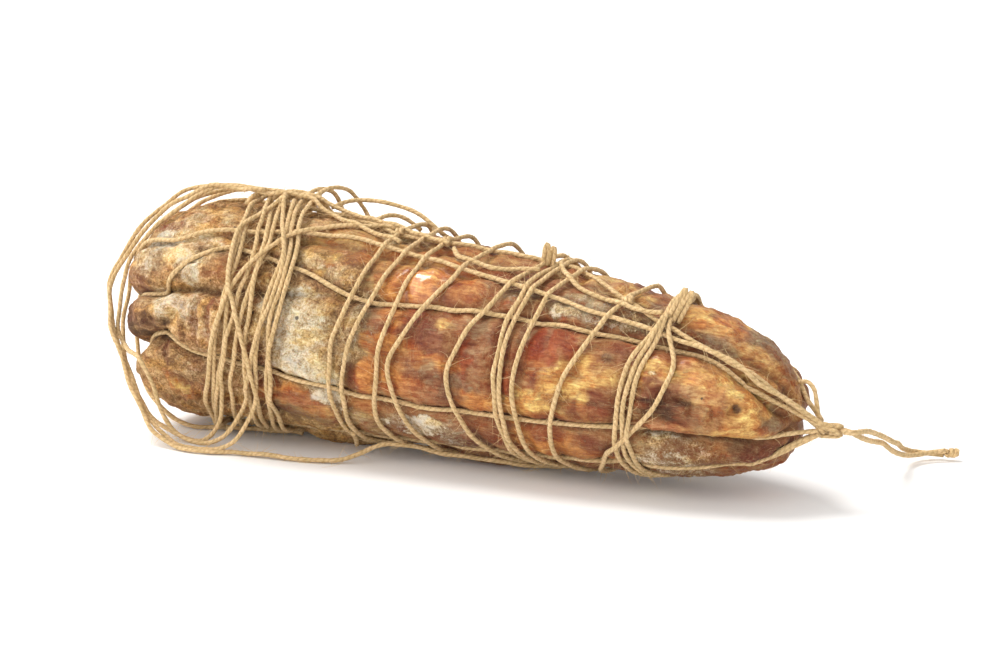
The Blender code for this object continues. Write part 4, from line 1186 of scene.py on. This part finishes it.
# slack turns over the butt, as points of station, depth and height
buttLoops = {
    "butt_loop_1": (
        (66, 0, 102.5), (54, 0, 102.6), (40, -2, 103.5), (23, -6, 101), (14, -10, 95),
        (5.5, -14, 86.5), (-3, -18, 73), (-8, -20, 65), (-8, -23, 58.5), (-3.5, -27, 49.5),
        (1, -31, 43), (6.5, -34, 34), (12.5, -37, 26), (19, -40, 18.5), (26.5, -43, 10),
        (34, -45, 5), (43, -46, 1.5), (53, -46.5, 1.5), (62, -46, 2), (69, -44, 6),
        (74, -41.5, 14),
    ),
    "butt_loop_2": (
        (64, -5, 102), (51, -5, 103.5), (34, -8, 102), (23, -15, 93.5), (10.5, -20, 82),
        (4, -22, 73), (1.5, -24, 63), (0.5, -27, 52), (1, -29, 43.5), (6, -32, 38),
        (14, -39, 37), (23, -45, 36.5), (28, -47, 32), (31, -45, 23), (34, -43.5, 12),
        (41, -42.5, 5), (51, -42.5, 2.5), (60, -42.5, 5), (67, -40.5, 12),
    ),
    "butt_loop_3": (
        (62, 4, 100), (47, 3, 102), (29, 2, 99), (14, -2, 91), (4, -6, 80),
        (-3, -10, 68), (-5, -13, 55), (-5, -17, 44), (-2, -22, 34), (4, -27, 25),
        (13, -33, 16), (24, -36, 8), (35, -37, 3), (45, -37.5, 1.8), (53, -37.5, 4.5),
        (57.5, -37.5, 12),
    ),
    "butt_loop_4": (
        (62, 14, 98), (46, 15, 100), (27, 14, 97), (11, 11, 88), (0, 7, 76),
        (-6, 3, 62), (-8, -2, 48), (-6, -7, 36), (-1, -12, 24), (8, -17, 13),
        (19, -19, 5), (30, -18, 1.8), (40, -15, 1.8), (52, -13, 2), (64, -10, 2.4),
        (78, -6, 2.4),
    ),
    "butt_loop_5": (
        (64, 26, 93), (48, 28, 95), (30, 27, 92), (15, 25, 84), (4, 23, 73),
        (-2, 21, 60), (-3, 19, 46), (0, 18, 33), (7, 18, 21), (17, 17, 11),
        (28, 14, 4), (38, 10, 1.8), (50, 6, 2), (64, 3, 2),
    ),
}
tableStrand = (
    (62, -6, 102), (44, -7, 103), (25, -11, 98.5), (14, -16, 90.5), (4.5, -20, 79), (-3, -23, 66),
    (-5, -26.5, 56), (-1, -30.5, 46.5), (5, -34.5, 37.5), (12, -39, 27.5), (20, -43, 17.5),
    (28.5, -46, 8), (39, -48.5, 2.4), (48, -49, 1.5), (56, -48, 1.5), (66, -45, 1.5),
    (78, -42.5, 1.5), (93, -41, 1.5), (105, -38.5, 1.5), (114, -34.5, 1.8), (121, -30, 4),
    (128, -25.5, 7.6), (135, -21.5, 8), (143, -18, 6.4), (152, -15.5, 4.6), (163, -14, 4),
    (175, -13, 3.6), (187, -8, 2.8), (197, -1, 2.4),
)
standingLoops = {  # station, angle, height, width and lean of each narrow loop
    "standing_loop_1": ((190, 86, 8.5, 2.0, 0.12), (191.8, 87, 7.6, 2.0, 0.22)),
    "standing_loop_2": ((249.2, 62, 14.5, 2.0, 0.50), (251.4, 63, 13.8, 2.0, 0.54)),
}
knots = {
    "butt": {"at": (-3.4, 0, 42), "size": (2.0, 4.6, 4.4)},
    "tip": {"at": (307.6, 0, 30.2), "size": (5.0, 2.7, 2.5)},
}
knotThickness = 0.95
# an arch, two low strands and a ring of twine at the tip's knot, as station, depth and height
tipArches = (
    ((289, 5, 46), (294.5, 2.5, 46.6), (299, 0.5, 47.6), (302, -0.5, 45), (303.2, -1, 40.5),
     (304.2, -1, 35.5), (306, -0.5, 31)),
    ((285, -11, 44), (291, -8.5, 42.5), (297, -5, 38), (302, -2.5, 33.2), (307, -1.5, 29.2)),
    ((276, -14, 17.5), (284, -11, 18), (291, -7.5, 20.5), (298, -4, 24.5), (305, -1.5, 28.5)),
    ((304, -2.2, 31.5), (306.5, -2.6, 33), (309.5, -1.6, 32.2), (310.6, 0.2, 30.2),
     (309.4, 1.4, 28.2), (306.4, 1.0, 27.4), (303.8, -0.6, 28.8)),
)


bight = {"steps": 8, "off": 0.6, "side": (1, 0.3, -0.3), "belly": 0.5, "roundness": 0.55}


def bightRoute(station, angle, height, width, lean):  # a narrow loop on end, closed at its foot
    radius, middle = girthAt(station)
    foot = Vector(place(station, 0, middle)) + outAt(angle) * (radius + bight["off"]) * mm
    up, side = Vector((lean, 0, 1)).normalized(), Vector(bight["side"]).normalized()
    route = []
    for k in range(bight["steps"] + 1):
        share = k / bight["steps"]
        across = (share - 0.5) * width * (1.0 + bight["belly"] * sin(share * pi))
        rise = height * sin(share * pi) ** bight["roundness"] if 0 < share < 1 else 0.0
        route.append(foot + side * across * mm + up * rise * mm)
    return route


def knotRoute(at, size):  # a trefoil, the simplest knot
    route = []
    for k in range(30):
        t = tau * k / 30
        x, y, z = -sin(3 * t), (sin(t) + 2 * sin(2 * t)) / 3, (cos(t) - 2 * cos(2 * t)) / 3
        route.append(Vector(place(*at)) + Vector((x * size[0], y * size[1], z * size[2])) * mm)
    return route


def crossways(ahead):  # level and upright ways square to a strand
    across = ahead.cross(Vector((0, 0, 1))).normalized()
    return across, across.cross(ahead)


winding = {"steps": 27, "ends": 0.08, "drift": 0.7, "driftFrom": 1.0}


def woundRoute(at, ahead, length, radius, turns):  # turns wound about the end of a strand
    ahead = Vector(ahead).normalized()
    across, above = crossways(ahead)
    route = []
    for k in range(winding["steps"] + 1):
        share = k / winding["steps"]
        turn = tau * turns * share
        swing = (across * cos(turn) + above * sin(turn)) * radius
        swing *= sin(pi * (winding["ends"] + (1 - 2 * winding["ends"]) * share)) ** 0.5
        along = (share - 0.5) * length + winding["drift"] * sin(turn + winding["driftFrom"])
        route.append(Vector(place(*at)) + (ahead * along + swing) * mm)
    return route


hitches = {
    "hoops": (0, 2, 4, 8), "angle": 82, "off": 1.4, "turns": 1.3, "steps": 11, "length": 2.2,
    "reach": 1.5, "endReach": 0.6,
}


def hitchRings():  # a small turn of twine round the ridge's run where a hoop meets it
    rings = []
    for number in hitches["hoops"]:
        stations = list(hoops.values())[number][0]
        station = float(hoopStation(stations, hitches["angle"]))
        angle = float(smoothRead(runStations, tautAngles["ridge"], station))
        middle, further = (Vector(p) for p in freeRoute([(x, angle, hitches["off"])
                                                         for x in (station, station + 2)]))
        ahead, up = (further - middle).normalized(), outAt(angle)
        side = ahead.cross(up).normalized()
        route = []
        last = hitches["steps"]
        for k in range(last + 1):
            turn = tau * hitches["turns"] * k / last
            drift = (k / last - 0.5) * hitches["length"]
            reach = hitches["reach" if 0 < k < last else "endReach"]
            route.append(middle + ahead * drift * mm + (up * cos(turn) + side * sin(turn)) * reach * mm)
        rings.append(openStrand(route))
    return rings


def bundlePoints(name, angle, slack, hang):
    return hoopPoints(bundle[name][0], angle, slack, hang, bundleForm["crown"], bundleForm["stray"],
                      bundleForm["seed"] + list(bundle).index(name))


def layBundle():  # whole turns, and those whose front is the end of a loop over the butt
    turns = []
    opened = [name for name, _ in loopTurns.values()]
    for k, (name, (_, slack)) in enumerate(bundle.items()):
        angle = openTurn if name in opened else wholeTurn
        route = bundlePoints(name, angle, slack, bundleForm["hang"])
        turns.append(layStrand(route, name not in opened, seeds["turns"] + k))
    return turns


def loopRoute(name):
    route = placeAll(buttLoops[name])
    if name in loopTurns:
        turn, lead = loopTurns[name]
        route = freeRoute(lead) + route + bundlePoints(turn, frontTurn, 0.0, 0.0)
    return route


def layAll():
    runs = [layStrand(runRoute(run), False, seeds["runs"] + k, twineForm["runSink"])
            for k, run in enumerate(runAngles)]
    for k, run in enumerate(runAngles):
        if run in runSet["buried"]:
            runs[k] = (bury(runs[k][0], *runSet["buried"][run]), False)
    hoopStrands = [layStrand(hoopPoints(stations, wholeTurn, slack), True, seeds["hoops"] + k)
                   for k, (stations, slack) in enumerate([*hoops.values(), thirdStrand])]
    turns = layBundle()
    extras = [layStrand(freeRoute(places), False, seeds["strays"] + k)
              for k, places in enumerate(strays)]
    loops = [layStrand(loopRoute(name), False, seeds["loops"] + k, twineForm["loopSink"])
             for k, name in enumerate(buttLoops)]
    loops.append(layStrand(placeAll(tableStrand), False, seeds["table"], twineForm["loopSink"]))
    arches = [openStrand(placeAll(route), twineForm["step"]) for route in tipArches]
    made = makeTwine("twineRuns", runs)
    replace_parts(made, *["run_" + run for run in runAngles])
    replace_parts(makeTwine("twineHoops", hoopStrands + hitchRings()), *hoops)
    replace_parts(makeTwine("twineBundle", turns + extras), *bundle)
    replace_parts(makeTwine("buttLoops", loops), *buttLoops, "table_strand")
    for name, loop in standingLoops.items():
        strands = [openStrand(bightRoute(*sizes)) for sizes in loop]
        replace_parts(makeTwine(name.replace("standing_loop_", "standingLoop"), strands), name)
    for name, knot in knots.items():
        route = evenPoints(knotRoute(knot["at"], knot["size"]), True, twineForm["step"])
        near = arches if name == "tip" else []
        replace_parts(makeTwine(name + "Knot", [(route, True)] + near, knotThickness), "knot_" + name)
    return runs + hoopStrands + turns + extras + loops + arches


strands = layAll()
print("twine laid,", len(Laid.points), "points")


# the tail: two free strands from the tip's knot

tailForm = {
    "route": (
        (312.6, 0, 30.5), (315.6, 1.6, 30), (317, 7, 28.6), (317, 15, 26), (316.4, 27, 22),
        (317.4, 38, 18), (317, 50, 13), (316, 61, 8.8), (316, 70, 5.6), (318, 77, 3.9),
        (322.5, 82, 3.3), (327, 84.5, 3.2),
    ),
    "spread": 1.75, "twistStart": 0.45, "twist": 225.0, "step": 4.5, "floor": 1.45,
    "diameter": 0.0025, "thickness": 1.14,
    "knob": ((329.7, 85.7, 3.3), (0.91, 0.41, 0.05), 5.4, 1.1, 2.8),
    "open": 62.0, "openAt": 0.27,  # the strands gape here, in degrees and share of the length
}


def tailPaths():
    middle = evenPoints(placeAll(tailForm["route"]), False, tailForm["step"])
    last = len(middle) - 1
    sides = ([], [])
    for k, point in enumerate(middle):
        across, above = crossways(Vector(middle[min(k + 1, last)] - middle[max(k - 1, 0)]).normalized())
        twisted = max(0.0, (k / last - tailForm["twistStart"]) / (1 - tailForm["twistStart"]))
        gape = hill(k / last - tailForm["openAt"], tailForm["openAt"])
        turn = radians(tailForm["twist"] * twisted + tailForm["open"] * gape)
        swing = across * cos(turn) + above * sin(turn)
        for side, sign in zip(sides, (1, -1)):
            spot = Vector(point) + swing * sign * tailForm["spread"] * mm
            spot.z = max(spot.z, tailForm["floor"] * mm)
            side.append(spot)
    return sides


def makeTail():
    knob = makeTwine("tailKnob", [openStrand(woundRoute(*tailForm["knob"]))], tailForm["thickness"])
    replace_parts(knob, "tail_knob")
    paths = []
    for number, side in enumerate(tailPaths(), 1):
        points, closed = openStrand(side, twineForm["step"])
        strand = makeTwine("tailStrand%d" % number, [(points, closed)], tailForm["thickness"])
        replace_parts(strand, "tail_strand_%d" % number)
        paths.append((points, closed))
    return paths


tails = makeTail()
print("tail made")
bpy.data.objects.remove(profile)


# loose fibres

fluff = {
    "seed": 7, "each": 1.6, "shortest": 0.9, "longest": 8.5, "fewLong": 2.2, "thickness": 0.08,
    "lean": (0.4, 1.6), "curl": 0.5, "foot": 0.8, "floor": 0.1, "taper": 0.75,
}


def anyWay(rng):
    return Vector((rng.uniform(-1, 1), rng.uniform(-1, 1), rng.uniform(-1, 1)))


def makeFluff(allStrands):
    rng = random.Random(fluff["seed"])
    curve = newCurve("fluff")
    curve.bevel_depth = fluff["thickness"] * mm
    curve.bevel_resolution = 0
    curve.use_fill_caps = True
    for points, _ in allStrands:
        for _ in range(int(len(points) * twineForm["step"] / fluff["each"])):
            i = rng.randrange(1, len(points) - 1)
            ahead = Vector(points[i + 1] - points[i - 1]).normalized()
            side = ahead.cross(anyWay(rng)).normalized()
            lean = rng.uniform(*fluff["lean"]) * rng.choice((-1, 1))
            way = (ahead * lean + side).normalized()
            curl = anyWay(rng) * fluff["curl"]
            longer = (fluff["longest"] - fluff["shortest"]) * rng.random() ** fluff["fewLong"]
            reach = (fluff["shortest"] + longer) * mm
            start = Vector(points[i]) + side * fluff["foot"] * mm
            path = [start + way * reach * t + curl * reach * t * t for t in (0, 1 / 3, 2 / 3, 1)]
            for spot in path:
                spot.z = max(spot.z, fluff["floor"] * mm)
            for k, target in enumerate(addSpline(curve, path)):
                target.radius = 1.0 - fluff["taper"] * k / 3
    return addTwine("twineFluff", meshFrom("fluff", curve, fluffMaterial))


fluffPiece = makeFluff(strands + tails)
print("fluff", len(fluffPiece.data.polygons), "faces")


# the table, the light and the white room

stageSet = {
    "floorSize": 30.0, "floorTone": (0.92, 0.92, 0.92), "floorRough": 0.7, "roomStrength": 0.70,
    "lights": (  # name, place that it shines from, strength, spread in degrees, tone
        ("topLight", (-0.46, 0.05, 0.885), 2.6, 30.0, (1.0, 0.985, 0.955)),
        ("leftLight", (-0.85, -0.45, 0.42), 1.3, 60.0, (1.0, 0.985, 0.96)),
        ("frontLight", (0.10, -0.90, 0.45), 0.9, 70.0, (1.0, 0.985, 0.97)),
    ),
}


def makeStage():
    bm = bmesh.new()
    bmesh.ops.create_grid(bm, x_segments=1, y_segments=1, size=stageSet["floorSize"] / 2)
    mesh = bpy.data.meshes.new("floor")
    bm.to_mesh(mesh)
    bm.free()
    material, _, shader = newMaterial("floor")
    fill(shader, {"Base Color": stageSet["floorTone"], "Roughness": stageSet["floorRough"]})
    mesh.materials.append(material)
    addObject("floor", mesh)
    for name, spot, strength, spread, tone in stageSet["lights"]:
        data = bpy.data.lights.new(name, "SUN")
        data.angle, data.energy, data.color = radians(spread), strength, tone
        light = addObject(name, data)
        light.location = spot
        light.rotation_euler = Vector(spot).to_track_quat("Z", "Y").to_euler()
    world = bpy.data.worlds.new("room")
    world.use_nodes = True
    fill(world.node_tree.nodes["Background"], {
        "Color": (1.0, 1.0, 1.0), "Strength": stageSet["roomStrength"]})
    bpy.context.scene.world = world
    bpy.context.scene.view_settings.view_transform = "Standard"


makeStage()
print("stage set")
